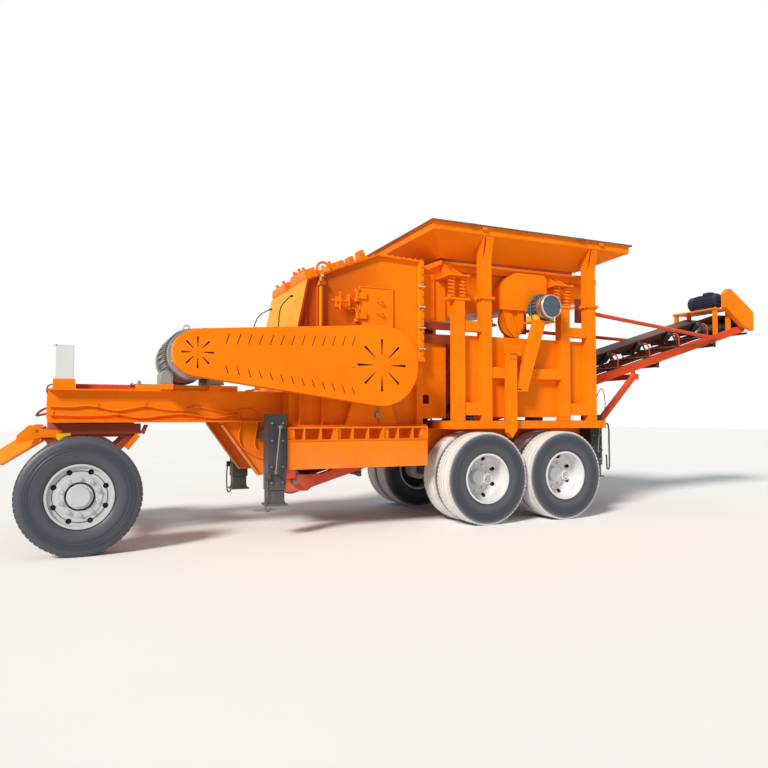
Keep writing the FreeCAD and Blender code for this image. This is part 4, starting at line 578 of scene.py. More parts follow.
def blank_material(name):
    material = bpy.data.materials.new(name)
    material.use_nodes = True
    tree = material.node_tree
    return material, tree, tree.nodes["Principled BSDF"]


def shade(colour, factor):
    return tuple(min(1.0, c * factor) for c in colour)


def enamel(name, colour, roughness=0.38, wear=1.0, dust=1.0, under=None, coat=0.06, fade=0.12,
           gloss=0.16, tint=None):
    """Paint on steel: uneven tone, worn edges, rain streaks and dust. The tint, where given, paints light
    and shade onto it by place and facing.
    """
    look = bpy.context.scene.crusher_paint
    material, tree, shader = blank_material(name)
    under = under or tuple(look.rust)
    grain = placed(tree, "grain")
    edge = placed(tree, "edge", Amount=look.wear * wear)
    streak = placed(tree, "streak", Amount=0.5 * look.wear * wear)
    dirt = placed(tree, "dust", Settled=look.dusting * dust, Thrown=look.dusting * dust * 1.3)
    tone = spread(tree, grain.outputs["Tone"], 0.3, 0.7)
    paint = mixed(tree, tone, shade(colour, 1 - fade), shade(colour, 1 + fade))
    paint = tint(tree, paint) if tint else paint
    paint = mixed(tree, streak.outputs["Mask"], paint, shade(colour, 0.45))
    paint = mixed(tree, edge.outputs["Mask"], paint, under)
    paint = mixed(tree, dirt.outputs["Mask"], paint, look.dust)
    tree.links.new(paint, shader.inputs["Base Color"])
    rough = spread(tree, grain.outputs["Tone"], 0.25, 0.75, roughness - 0.06, roughness + 0.10)
    rough = maths(tree, "ADD", rough, maths(tree, "MULTIPLY", dirt.outputs["Mask"], 0.4))
    tree.links.new(maths(tree, "MINIMUM", rough, 0.95), shader.inputs["Roughness"])
    shader.inputs["Coat Weight"].default_value = coat
    shader.inputs["Coat Roughness"].default_value = 0.22
    shader.inputs["Specular IOR Level"].default_value = gloss
    chips = maths(tree, "SUBTRACT", grain.outputs["Height"], edge.outputs["Mask"])
    bump = node(tree, "ShaderNodeBump", {"Strength": 0.25, "Distance": 0.002, "Height": chips,
                                         "Normal": edge.outputs["Normal"]})
    tree.links.new(bump.outputs[0], shader.inputs["Normal"])
    return material


def bare_metal(name, colour, roughness=0.35, rust=0.5, dust=0.5):
    """Machined or galvanised steel with some rust and dust."""
    look = bpy.context.scene.crusher_paint
    material, tree, shader = blank_material(name)
    place = tree.nodes.new("ShaderNodeTexCoord").outputs["Object"]
    edge = placed(tree, "edge", Width=0.003)
    dirt = placed(tree, "dust", Settled=look.dusting * dust, Thrown=look.dusting * dust)
    rusty = maths(tree, "MULTIPLY", spread(tree, noise(tree, place, 9.0, 6.0, 0.7), 0.5, 0.66), rust)
    tone = mixed(tree, spread(tree, noise(tree, place, 40.0, 3.0), 0.3, 0.7), shade(colour, 0.75), colour)
    tone = mixed(tree, rusty, tone, look.rust)
    tone = mixed(tree, dirt.outputs["Mask"], tone, look.dust)
    tree.links.new(tone, shader.inputs["Base Color"])
    covered = maths(tree, "MAXIMUM", rusty, dirt.outputs["Mask"])
    tree.links.new(spread(tree, covered, 0.0, 1.0, 1.0, 0.0), shader.inputs["Metallic"])
    tree.links.new(spread(tree, covered, 0.0, 1.0, roughness, 0.85), shader.inputs["Roughness"])
    bump = node(tree, "ShaderNodeBump", {"Strength": 0.3, "Distance": 0.001,
                                         "Height": noise(tree, place, 90.0, 3.0),
                                         "Normal": edge.outputs["Normal"]})
    tree.links.new(bump.outputs[0], shader.inputs["Normal"])
    return material


def rubber(name, colour, dust, attribute=None, clean=0.012):
    """Rubber with a dusty tread or top; the attribute says where it touches the ground."""
    look = bpy.context.scene.crusher_paint
    material, tree, shader = blank_material(name)
    place = tree.nodes.new("ShaderNodeTexCoord").outputs["Object"]
    cloud = spread(tree, noise(tree, place, 7.0, 7.0, 0.7), 0.3, 0.7, 0.8, 1.0)
    fine = spread(tree, noise(tree, place, 130.0, 2.0), 0.3, 0.75, 0.9, 1.0)
    cover = maths(tree, "MULTIPLY", cloud, fine)
    if attribute:
        tread = tree.nodes.new("ShaderNodeAttribute")
        tread.attribute_name = attribute
        reach = spread(tree, tread.outputs["Fac"], 0.0, 1.0, clean, dust)
    else:
        plain = tree.nodes.new("ShaderNodeNewGeometry")
        normal_z = node(tree, "ShaderNodeSeparateXYZ", {0: plain.outputs["Normal"]}).outputs[2]
        reach = spread(tree, normal_z, -0.2, 0.6, clean, dust)
    cover = maths(tree, "MULTIPLY", cover, reach)
    tone = mixed(tree, cover, colour, look.road_dust if attribute else look.dust)
    tree.links.new(tone, shader.inputs["Base Color"])
    tree.links.new(spread(tree, cover, 0.0, 1.0, 0.40, 0.9), shader.inputs["Roughness"])
    bump = node(tree, "ShaderNodeBump", {"Strength": 0.35, "Distance": 0.001,
                                         "Height": noise(tree, place, 260.0, 3.0)})
    tree.links.new(bump.outputs[0], shader.inputs["Normal"])
    return material


def housing_light_and_shade(tree, paint):
    """The crusher's paint with painted light and shade: a lit yellow on the faces towards the front plate,
    and a darker, redder painted shade on the side by the column.
    """
    look = bpy.context.scene.crusher_paint
    place = node(tree, "ShaderNodeSeparateXYZ", {0: tree.nodes.new("ShaderNodeTexCoord").outputs["Object"]})
    normal = tree.nodes.new("ShaderNodeNewGeometry").outputs["Normal"]
    front = node(tree, "ShaderNodeSeparateXYZ", {0: normal}).outputs[0]
    # Painted shade: the housing grows darker and redder from 1.0 to 2.1 m ahead of the first rear axle
    side_shade_share = spread(tree, place.outputs[0], AXLE_X - 1.0, AXLE_X - 2.1, 0, 0.9)
    paint = mixed(tree, side_shade_share, paint, look.painted_side_shade)
    # Painted light: faces turned towards -X, the front plate, get a lit yellow
    return mixed(tree, spread(tree, front, -0.3, -0.8), paint, look.lit_front_plate)


def finish(slot):
    """The material of a slot of the record, made once."""
    if slot in FINISHES:
        return FINISHES[slot]
    look = bpy.context.scene.crusher_paint
    black = tuple(look.axle)
    makers = {
        "orange_paint": lambda n: enamel(n, look.orange, under=shade(look.orange, 0.35), coat=0.02,
                                         gloss=0.06),
        # The housing's coat: orange with a painted lit front and painted shade on its side
        "housing_orange": lambda n: enamel(n, look.orange, coat=0.02, gloss=0.05, tint=housing_light_and_shade),
        "yellow_paint": lambda n: enamel(n, look.yellow, coat=0.02, gloss=0.06),
        "dark_red_paint": lambda n: enamel(n, look.dark_red, 0.55, dust=1.5, coat=0.05),
        "charcoal_paint": lambda n: enamel(n, look.charcoal, 0.45, wear=1.4, dust=1.0),
        "axle_black": lambda n: enamel(n, look.axle, 0.5, dust=1.8),
        "pale_grey_paint": lambda n: enamel(n, look.pale_grey, 0.5, wear=0.6),
        "red_orange": lambda n: enamel(n, look.red_orange, 0.45, coat=0.02, gloss=0.1),
        "motor_grey": lambda n: enamel(n, look.motor_grey, 0.42, dust=1.4),
        "motor_slate": lambda n: enamel(n, look.motor_slate, 0.35, dust=0.8),
        "motor_navy": lambda n: enamel(n, look.motor_navy, 0.35, dust=0.8),
        "bare_steel": lambda n: bare_metal(n, (0.26, 0.25, 0.24), 0.45),
        "bright_steel": lambda n: bare_metal(n, (0.72, 0.72, 0.72), 0.22, rust=0.1, dust=0.2),
        "rusty_steel": lambda n: bare_metal(n, (0.22, 0.15, 0.11), 0.6, rust=1.0),
        "idler_steel": lambda n: enamel(n, look.charcoal, 0.5, dust=1.5),
        "belt_rubber": lambda n: rubber(n, look.belt, 0.10),
        "silver_rim": lambda n: enamel(n, look.silver, 0.30, wear=0.7, dust=0.9, coat=0.1),
        "white_rim": lambda n: enamel(n, look.white, 0.38, wear=0.9, dust=0.9),
        "tyre_rubber": lambda n: rubber(n, look.rubber, 1.0, "tread"),
        "cable_black": lambda n: enamel(n, black, 0.7, wear=0.0, dust=0.3, coat=0.0, gloss=0.06),
    }
    FINISHES[slot] = makers[slot](slot)
    return FINISHES[slot]


# Rows of fittings

def line(start, end, count):
    """Evenly spaced places, both ends among them."""
    start, end = Vector(start), Vector(end)
    return [start.lerp(end, i / (count - 1)) for i in range(count)]


def both(places):
    """The places and their mirror images on the far side."""
    return places + [Vector((p.x, -p.y, p.z)) for p in places]


def around(centre, axis, radius, count, start=0.0):
    return circle(Vector(centre), axis, radius, count, start)


def facing(places, way):
    return [(place, Vector(way)) for place in places]


def outward(places):
    """The places, each facing out from the machine's middle plane."""
    return [(place, Vector((0, math.copysign(1, place.y), 0))) for place in places]


def bolts(name, body, rows, size, slot="bare_steel"):
    """One mesh of hexagon bolts with their washers."""
    if "bolts" not in GROUPS:
        GROUPS["bolts"] = bolt_tree()
    sizes = {"Across flats": size, "Height": size * 0.62, "Washer": size * 0.12}
    mesh = grown(point_mesh(name, rows), GROUPS["bolts"], sizes, finish(slot))
    return seat(mesh, name, body)


def led(places, steps=8):
    """A smooth route through places that are measured as spot() does."""
    return smooth_path([spot(*place) for place in places], steps)


def round_about(angle):
    """The way out from a cross axis at an angle, and the way along its circle."""
    return Vector((math.cos(angle), 0, math.sin(angle))), Vector((-math.sin(angle), 0, math.cos(angle)))


def fin_ring(form, centre, root, height, widths, run, count, lowest):
    """Thin fins round a motor, apart from those by its feet; widths are half a fin's, root and tip."""
    for i in range(count):
        way, side = round_about(2 * math.pi * i / count)
        if way.z < lowest:
            continue
        foot = centre + way * root
        tip = foot + way * height
        form.prism([foot - side * widths[0], tip - side * widths[1], tip + side * widths[1],
                    foot + side * widths[0]], run)


def grille(form, hub, radii, sides, wire, spokes, reach, spoke):
    """Rings of wire round a motor's fan, held by spokes."""
    for radius in radii:
        form.pipe(around(hub, NEAR, radius, sides), wire, 6, looped=True)
    for i in range(spokes):
        way, side = round_about(2 * math.pi * i / spokes)
        form.rod(hub + way * reach[0], hub + way * reach[1], spoke, 6)


# Operators

class CRUSHER_OT_finishes(bpy.types.Operator):
    """Paint the frame's own pieces with the finishes of their slots"""
    bl_idname = "crusher.finishes"
    bl_label = "Paint the Frame"

    def execute(self, context):
        for part in frame["record"]["subparts"]:
            mesh = frame["nodes"][part["node"]].data
            mesh.materials.clear()
            mesh.materials.append(finish(COATS.get(part["node"], part["material_slot"])))
        return {"FINISHED"}


def tyre_rings(look, sides):
    """The tyre's skin about the origin, as rings round its cross axis, and the tread's share."""
    half_width, outer = 0.155, WHEEL_Z
    side = ((0.112, 0.2925, 0), (0.119, 0.300, 0), (0.124, 0.313, 0), (0.131, 0.322, 0.02),
            (0.143, 0.352, 0.05), (0.1515, 0.388, 0.03), (half_width, 0.425, 0), (0.1520, 0.431, 0),
            (half_width, 0.437, 0), (0.1545, 0.452, 0), (0.1510, 0.457, 0), (0.1535, 0.462, 0),
            (0.1505, 0.478, 0), (0.1525, 0.483, 0), (0.149, 0.490, 0), (0.146, 0.508, 0.03),
            (0.141, 0.524, 0.08), (0.135, 0.538, 0.3), (0.128, 0.548, 0.8))
    depth, half = look.groove, look.groove_width / 2
    grooves = (0.094, 0.033)
    profile = [(y, r, t, 0) for y, r, t in side]
    for index, y in enumerate(grooves):
        crown = outer - 0.0006 - 0.018 * y * y / 0.02
        swing = 0 if index == 0 else 1
        profile += [(y + half, crown, 1, swing), (y + half * 0.7, crown - depth, 0.4, swing),
                    (y - half * 0.7, crown - depth, 0.4, swing), (y - half, crown, 1, swing)]
    profile[len(side) - 1:len(side)] = [(0.127, 0.5495, 0.9, 0), (0.1205, 0.5535, 1, 0)]
    full = profile + [(-y, r, t, -s) for y, r, t, s in reversed(profile)]
    rings = []
    for y, r, t, swing in full:
        ring = []
        for i in range(sides):
            angle = 2 * math.pi * i / sides
            shift = swing * look.zigzag * (1 if i // 2 % 2 else -1)
            ring.append(Vector((r * math.cos(angle), y + shift, r * math.sin(angle))))
        rings.append(ring)
    return rings, [t for y, r, t, swing in full]


def tyre_mesh(look):
    """One tyre about the origin, with its tread and shoulder blocks."""
    sides = 132
    rings, shares = tyre_rings(look, sides)
    form = Form()
    form.skin(rings, looped=True)
    body = form.mesh("tyre body")
    tread = body.attributes.new("tread", "FLOAT", "POINT")
    tread.data.foreach_set("value", [t for t in shares for _ in range(sides)])
    sizes = {"Blocks": look.blocks, "Radius": 0.5515, "Offset": 0.1135, "Length": 0.040, "Width": 0.027,
             "Depth": 0.016, "Skew": 0.18}
    mesh = grown(body, shoulder_tree(), sizes, finish("tyre_rubber"))
    values = mesh.attributes["tread"].data
    for vertex, value in zip(mesh.vertices, values):
        if value.value == 0 and math.hypot(vertex.co.x, vertex.co.z) > 0.53:
            value.value = 0.9
    return mesh


def copies(mesh, name, places):
    """One mesh with a copy of another at each place."""
    work = bmesh.new()
    for place in places:
        part = mesh.copy()
        part.transform(Matrix.Translation(place))
        work.from_mesh(part)
        bpy.data.meshes.remove(part)
    result = bpy.data.meshes.new(name)
    for material in mesh.materials:
        result.materials.append(material)
    work.to_mesh(result)
    work.free()
    return result


def wheel_rows():
    """Each wheel body with its tyre node, its side and the middles of its tyres."""
    rows = []
    for side_name, side in (("near", -1), ("far", 1)):
        for axle in ("front_wheel", "rear_wheel_a", "rear_wheel_b"):
            body = f"{axle}_{side_name}"
            dual = axle != "front_wheel"
            tyre = body + ("_tyres" if dual else "_tyre")
            low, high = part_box(tyre)
            half = 0.155
            outer = low.y + half if side < 0 else high.y - half
            inner = high.y - half if side < 0 else low.y + half
            centre = (low + high) / 2
            middles = [Vector((centre.x, y, WHEEL_Z)) for y in ((outer, inner) if dual else (outer,))]
            rows.append((body, tyre, side, middles))
    return rows


class CRUSHER_OT_tyres(bpy.types.Operator):
    """Make the tyres with their grooves, shoulder blocks and sidewall ribs"""
    bl_idname = "crusher.tyres"
    bl_label = "Make the Tyres"

    def execute(self, context):
        tyre = tyre_mesh(context.scene.crusher_tyres)
        for body, node_name, side, middles in wheel_rows():
            mesh = copies(tyre, body + "_tread", middles)
            if len(middles) == 1:
                for value in mesh.attributes["tread"].data:
                    value.value = min(value.value, CLEAN_FRONT)
            piece = seat(mesh, body + "_tread", body)
            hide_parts(node_name)
        return {"FINISHED"}


class CRUSHER_OT_wheel_nuts(bpy.types.Operator):
    """Make the wheel nuts, hub rings, the near-black drums behind the hand holes that show as their shade,
    and thin black rings of painted shade in the rims' gaps
    """
    bl_idname = "crusher.wheel_nuts"
    bl_label = "Make the Wheel Nuts"

    def execute(self, context):
        look = context.scene.crusher_tyres
        for body, node_name, side, middles in wheel_rows():
            dual = len(middles) == 2
            out = Vector((0, side, 0))
            face = sum((m.y for m in middles)) / 2 if dual else middles[0].y + side * 0.110
            hub = Vector((middles[0].x, face, WHEEL_Z))
            form = Form()
            for i in range(10):
                angle = 2 * math.pi * (i + 0.5) / 10
                way = Vector((math.cos(angle), 0, math.sin(angle)))
                root = hub + way * look.nut_circle + out * 0.007
                form.rod(root, root + out * 0.004, look.nut * 0.68, 16)
                form.nut(root + out * 0.004, out, look.nut, 0.018)
                form.rod(root, root + out * 0.028, look.nut * 0.33, 8)
            form.piece(body + "_nuts", body, ["bright_steel"])

            form = Form()
            form.ring(((-0.004, 0.132), (0.007, 0.136), (0.007, 0.196), (-0.004, 0.203)), hub, out, 64)
            form.ring(((-0.002, 0.118), (0.012, 0.116), (0.016, 0.104), (0.016, 0.088), (-0.002, 0.088)),
                      hub, out, 48)
            low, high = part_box(body + ("_rims" if dual else "_rim"))
            cap = Vector((hub.x, low.y if side < 0 else high.y, hub.z))
            if dual:
                form.ring(((-0.004, 0.050), (0.003, 0.052), (0.003, 0.060), (-0.004, 0.064)), cap, out, 40)
            form.piece(body + "_hub_rings", body, ["white_rim" if dual else "silver_rim"])

            # Brake drums, a real part, in near black, so that the hand holes show the shade inside the
            # wheel
            form = Form()
            form.ring(((-0.03, 0.148), (-0.03, 0.262), (-0.16, 0.262), (-0.16, 0.148)), hub, out, 48)
            # Painted shade: a thin black ring in the gap round the hub's raised disc
            form.ring(((0.0, 0.117), (0.003, 0.117), (0.003, 0.134), (0.0, 0.134)), hub, out, 48)
            # Painted shade: a thin black ring in the rim's groove by its outer lip
            form.ring(((-0.002, 0.238), (0.003, 0.238), (0.003, 0.243), (-0.002, 0.243)), hub, out, 64)
            form.piece(body + "_drum_and_shade_rings", body, ["cable_black"])
        return {"FINISHED"}


class CRUSHER_OT_springs(bpy.types.Operator):
    """Make the coil springs under the feeder pan"""
    bl_idname = "crusher.springs"
    bl_label = "Make the Feeder Springs"

    def execute(self, context):
        look = context.scene.crusher_fittings
        low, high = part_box("feeder_springs")
        radius = 0.05 - look.spring_wire
        pair = 0.16
        xs = [low.x + 0.044 + dx for dx in (0, pair)] + [high.x - 0.044 - dx for dx in (pair, 0)]
        y = high.y - 0.044
        feet = [Vector((x, side * y, low.z + look.spring_wire)) for side in (-1, 1) for x in xs]
        sizes = {"Coils": look.coils, "Radius": radius, "Wire": look.spring_wire,
                 "Height": high.z - low.z - 2 * look.spring_wire}
        mesh = grown(point_mesh("feet", [(foot, UP) for foot in feet]), coil_tree(), sizes,
                     finish("orange_paint"))
        piece = seat(mesh, "feeder_coils", "chassis")
        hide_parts("feeder_springs")
        return {"FINISHED"}


class CRUSHER_OT_bolts(bpy.types.Operator):
    """Set the bolts along the flanges, splices, seats and bearings"""
    bl_idname = "crusher.bolts"
    bl_label = "Set the Bolts"

    def execute(self, context):
        look = context.scene.crusher_fittings
        y = -FLANGE_Y - 0.002
        side = line(spot(-2.33, y, SPLIT_Z - 0.005), spot(-1.62, y, SPLIT_Z - 0.005), 6)
        split = line(spot(-2.28, -0.795, SPLIT_Z), spot(-1.60, -0.795, SPLIT_Z), 8)
        split += line(spot(-1.12, -0.795, SPLIT_Z), spot(-0.72, -0.795, SPLIT_Z), 5)
        roof = line(spot(SHOULDER[0] + 0.05, -WALL_Y - 0.022, SHOULDER[1] + 0.023),
                    spot(PEAK[0] - 0.05, -WALL_Y - 0.022, PEAK[1] - 0.02), 11)
        slope = Vector((SHOULDER[1] - PEAK[1], 0, PEAK[0] - SHOULDER[0])).normalized()
        flat = line(spot(PEAK[0] + 0.05, -WALL_Y - 0.022, PEAK[1] - 0.002),
                    spot(ROOF_REAR[0] - 0.03, -WALL_Y - 0.022, ROOF_REAR[1] + 0.001), 8)
        rear = line(spot(-0.665, y + 0.002, 2.08), spot(-0.665, y + 0.002, 3.18), 13)
        base = line(spot(-2.32, -0.81, 1.217), spot(-1.75, -0.81, 1.217), 6)
        base += line(spot(-0.98, -0.81, 1.217), spot(-0.68, -0.81, 1.217), 4)
        rows = facing(both(split), UP) + facing(both(roof), slope) + facing(both(flat), UP)
        rows += outward(both(rear)) + facing(both(base), UP)
        bolts("crusher_bolts", "chassis", rows, look.small_bolt, "orange_paint")

        rows = []
        for key in ("b", "d"):
            for x in (POSTS[key] - 0.02, POSTS[key] + POST_WIDTH + 0.02):
                pair = both([spot(x, -0.90, SPLICE_Z + 0.026), spot(x, -0.985, SPLICE_Z + 0.026)])
                rows += facing(pair, UP) + facing([p - Vector((0, 0, 0.026)) for p in pair], -UP)
        for key in ("a", "c"):
            centre = POSTS[key] + POST_WIDTH / 2
            for x in (centre - 0.137, centre + 0.137):
                rows += facing(both([spot(x, -0.90, 2.79), spot(x, -0.985, 2.79)]), UP)
                rows += facing(both([spot(x, -0.90, 3.076), spot(x, -0.985, 3.076)]), UP)
        bolts("frame_bolts", "chassis", rows, look.small_bolt, "orange_paint")

        rows = []
        for x in (-3.68, -3.18):
            for y in (-0.70, 0.02):
                for dx in (-0.03, 0.03):
                    rows.append((spot(x + dx * 0.8, y, 1.655), UP))
        for side in (-1, 1):
            for angle in (45, 135, 225, 315):
                way = Vector((math.cos(math.radians(angle)), 0, math.sin(math.radians(angle))))
                rows.append((spot(ROTOR[0], side * 0.88, ROTOR[1]) + way * 0.105, Vector((0, side, 0))))
        bolts("machine_bolts", "chassis", rows, look.bolt)

        ring = around(spot(KINGPIN_X, 0, NECK_LOW), UP, 0.40, 24)
        rows = facing([p for p in ring if abs(p.y) < 0.40], UP)
        rows += facing(around(spot(KINGPIN_X, 0, NECK_LOW - 0.035), UP, 0.425, 24), -UP)
        head = [spot(HEAD_X + dx, -STRINGER_Y, 2.905) for dx in (-0.045, 0.045)]
        rows += outward(both(head))
        bridge = stringer_z(4.90) + 0.565
        rows += facing([spot(x, y, bridge) for x in (4.93, 5.26) for y in (-0.41, 0.41)], UP)
        bolts("small_bolts", "chassis", rows, look.small_bolt)
        return {"FINISHED"}


class CRUSHER_OT_guard_inside(bpy.types.Operator):
    """Make the drive belts that show through the guard's slots"""
    bl_idname = "crusher.guard_inside"
    bl_label = "Make the Drive Belts"

    def execute(self, context):
        form = Form()
        run = Vector((ROTOR[0] - MOTOR[0], 0, ROTOR[1] - MOTOR[1]))
        small, large = 0.152, 0.362
        tip = math.acos((small - large) / run.length)
        lean = math.atan2(run.z, run.x)
        for i in range(5):
            y = GUARD_Y + 0.045 + i * 0.017
            path = []
            for centre, radius, first, last in ((MOTOR, small, lean + tip, lean + 2 * math.pi - tip),
                                                (ROTOR, large, lean - tip, lean + tip)):
                for j in range(25):
                    angle = first + (last - first) * j / 24
                    path.append(spot(centre[0] + radius * math.cos(angle), y,
                                     centre[1] + radius * math.sin(angle)))
            form.pipe(path, 0.0065, 6, looped=True)
        form.piece("drive_belts", "chassis", ["cable_black"])
        return {"FINISHED"}


class CRUSHER_OT_crusher_fittings(bpy.types.Operator):
    """Make the crusher's shackles, clamp wheel, handles, pins and hoses"""
    bl_idname = "crusher.crusher_fittings"
    bl_label = "Make the Crusher Fittings"

    def execute(self, context):
        form = Form()
        for side in (-1, 1):
            x, y, foot = -1.92, side * 0.66, 2.985
            form.block(spot(x - 0.10, y - 0.02, foot - 0.03), spot(x + 0.10, y + 0.02, foot + 0.055))
            bow = [spot(x + 0.075 * math.cos(a), y, foot + 0.085 + 0.075 * math.sin(a))
                   for a in (math.pi * i / 14 for i in range(15))]
            form.pipe([spot(x + 0.062, y, foot)] + bow + [spot(x - 0.062, y, foot)], 0.016, 12)
            form.rod(spot(x - 0.095, y, foot + 0.03), spot(x + 0.095, y, foot + 0.03), 0.014, 12)
        form.piece("shackles", "chassis", ["orange_paint"])

        form = Form()
        centre = spot(-1.776, -0.86, 2.665)
        for i in range(4):
            way = Vector((math.cos(math.pi * i / 2), 0, math.sin(math.pi * i / 2)))
            form.rod(centre + way * 0.015, centre + way * 0.085, 0.009, 10)
            form.rod(centre + way * 0.080, centre + way * 0.105, 0.013, 10)
        form.rod(centre - NEAR * 0.11, centre + NEAR * 0.03, 0.013, 12)
        form.rod(centre - NEAR * 0.02, centre + NEAR * 0.02, 0.027, 16)
        form.block(spot(-1.80, -0.765, 2.60), spot(-1.75, -0.75, 2.73))
        form.rod(spot(-1.776, -0.835, 2.665), spot(-1.64, -0.80, 2.672), 0.012, 10)
        form.block(spot(-1.66, -0.815, 2.575), spot(-1.635, -0.75, 2.76))
        form.block(spot(-1.66, -0.785, 2.585), spot(-1.57, -0.765, 2.61))
        form.piece("clamp_wheel", "chassis", ["orange_paint"], 0.002)

        form = Form()
        for z in (2.70, 2.56):
            bow = [spot(-1.235 + 0.035 * math.cos(a), -0.775 - 0.045 * math.sin(a), z)
                   for a in (math.pi * i / 10 for i in range(11))]
            form.pipe(bow, 0.008, 8)
        frame_edge = ((-1.49, 2.41), (-1.06, 2.41), (-1.06, 2.87), (-1.49, 2.87))
        for (x0, z0), (x1, z1) in zip(frame_edge, frame_edge[1:] + frame_edge[:1]):
            form.rod(spot(x0, -0.767, z0), spot(x1, -0.767, z1), 0.009, 8)
        form.piece("door_trim", "inspection_door", ["orange_paint"])

        form = Form()
        for z in (2.926, 2.675, 2.412, 2.15):
            form.rod(spot(-0.715, -0.805, z), spot(-0.628, -0.805, z), 0.011, 12)
            form.rod(spot(-0.728, -0.805, z), spot(-0.708, -0.805, z), 0.019, 12)
        form.nut(spot(-1.976, -0.782, 2.94), UP, 0.05, 0.03)
        form.piece("side_pins", "chassis", ["bright_steel"])

        form = Form()
        hoses = (((-2.27, -0.50, 2.74), (-2.36, -0.42, 2.62), (-2.40, -0.46, 2.42), (-2.41, -0.50, 2.2),
                  (-2.42, -0.52, 1.9)),
                 ((-2.24, 0.58, 2.74), (-2.36, 0.66, 2.66), (-2.42, 0.72, 2.50), (-2.42, 0.76, 2.25),
                  (-2.42, 0.70, 1.9)))
        for hose in hoses:
            form.pipe(led(hose), 0.007, 8)
            form.rod(spot(*hose[0]), spot(hose[0][0] + 0.03, hose[0][1], hose[0][2] + 0.004), 0.013, 10)
        form.piece("grease_hoses", "chassis", ["cable_black"])

        form = Form()
        form.pipe(led(((-1.30, -0.865, 1.62), (-1.28, -0.875, 1.45), (-1.31, -0.87, 1.34),
                       (-1.27, -0.865, 1.24))), 0.006, 8)
        form.nut(spot(-1.30, -0.85, 1.62), NEAR, 0.02, 0.03)
        form.block(spot(-1.33, -0.872, 1.30), spot(-1.27, -0.85, 1.36))
        form.piece("grease_line", "chassis", ["bare_steel"])
        return {"FINISHED"}


class CRUSHER_OT_conduits(bpy.types.Operator):
    """Lead the painted cable conduits along the neck and down the sloping web"""
    bl_idname = "crusher.conduits"
    bl_label = "Lead the Conduits"

    def execute(self, context):
        radius = context.scene.crusher_fittings.conduit
        y = NECK_WEB_Y - radius - 0.002
        upper = ((-4.80, 1.415), (-4.584, 1.411), (-4.475, 1.425), (-4.348, 1.416), (-4.17, 1.378),
                 (-4.02, 1.40), (-3.872, 1.424), (-3.70, 1.395), (-3.492, 1.381), (-3.315, 1.418),
                 (-3.004, 1.364), (-2.798, 1.393), (-2.702, 1.37), (-2.657, 1.26), (-2.683, 0.98),
                 (-2.582, 0.89))
        lower = ((-4.80, 1.33), (-4.52, 1.32), (-4.266, 1.326), (-4.145, 1.335), (-3.92, 1.299),
                 (-3.70, 1.325), (-3.483, 1.341), (-3.132, 1.299), (-2.92, 1.336), (-2.868, 1.30),
                 (-2.849, 1.217), (-2.867, 1.085), (-2.832, 0.968), (-2.697, 0.874), (-2.589, 0.83))
        form = Form()
        for route in (upper, lower):
            form.pipe(led([(x, y, z) for x, z in route], 10), radius, 10)
        form.piece("conduits", "chassis", ["orange_paint"])
        form = Form()
        for x, z in ((-4.348, 1.416), (-3.872, 1.424), (-3.315, 1.418), (-4.767, 1.329), (-4.145, 1.335),
                     (-3.483, 1.341), (-2.92, 1.336), (-2.66, 1.15), (-2.855, 1.15)):
            bow = [spot(x, y - (radius + 0.003) * math.sin(a), z + (radius + 0.003) * math.cos(a))
                   for a in (math.pi * i / 8 for i in range(9))]
            for dx in (-0.006, 0.006):
                form.pipe([p + ALONG * dx for p in bow], 0.003, 6)
            for dz in (-1, 1):
                foot = spot(x, NECK_WEB_Y - 0.001, z + dz * (radius + 0.013))
                form.block(foot + Vector((-0.012, -0.003, -0.012)), foot + Vector((0.012, 0.001, 0.012)))
                form.nut(foot, NEAR, 0.010, 0.008)
        form.piece("conduit_clamps", "chassis", ["orange_paint"])
        form = Form()
        loop = ((-4.761, 1.65), (-4.815, 1.632), (-4.832, 1.589), (-4.82, 1.547), (-4.80, 1.53))
        hose = ((-4.79, 1.42), (-4.862, 1.385), (-4.907, 1.351), (-4.919, 1.325), (-4.884, 1.33),
                (-4.80, 1.351))
        form.pipe(led([(x, -0.47, z) for x, z in loop]), 0.008, 8)
        form.pipe(led([(x, -0.45, z) for x, z in hose]), 0.012, 8)
        form.piece("front_cables", "chassis", ["dark_red_paint"])
        return {"FINISHED"}


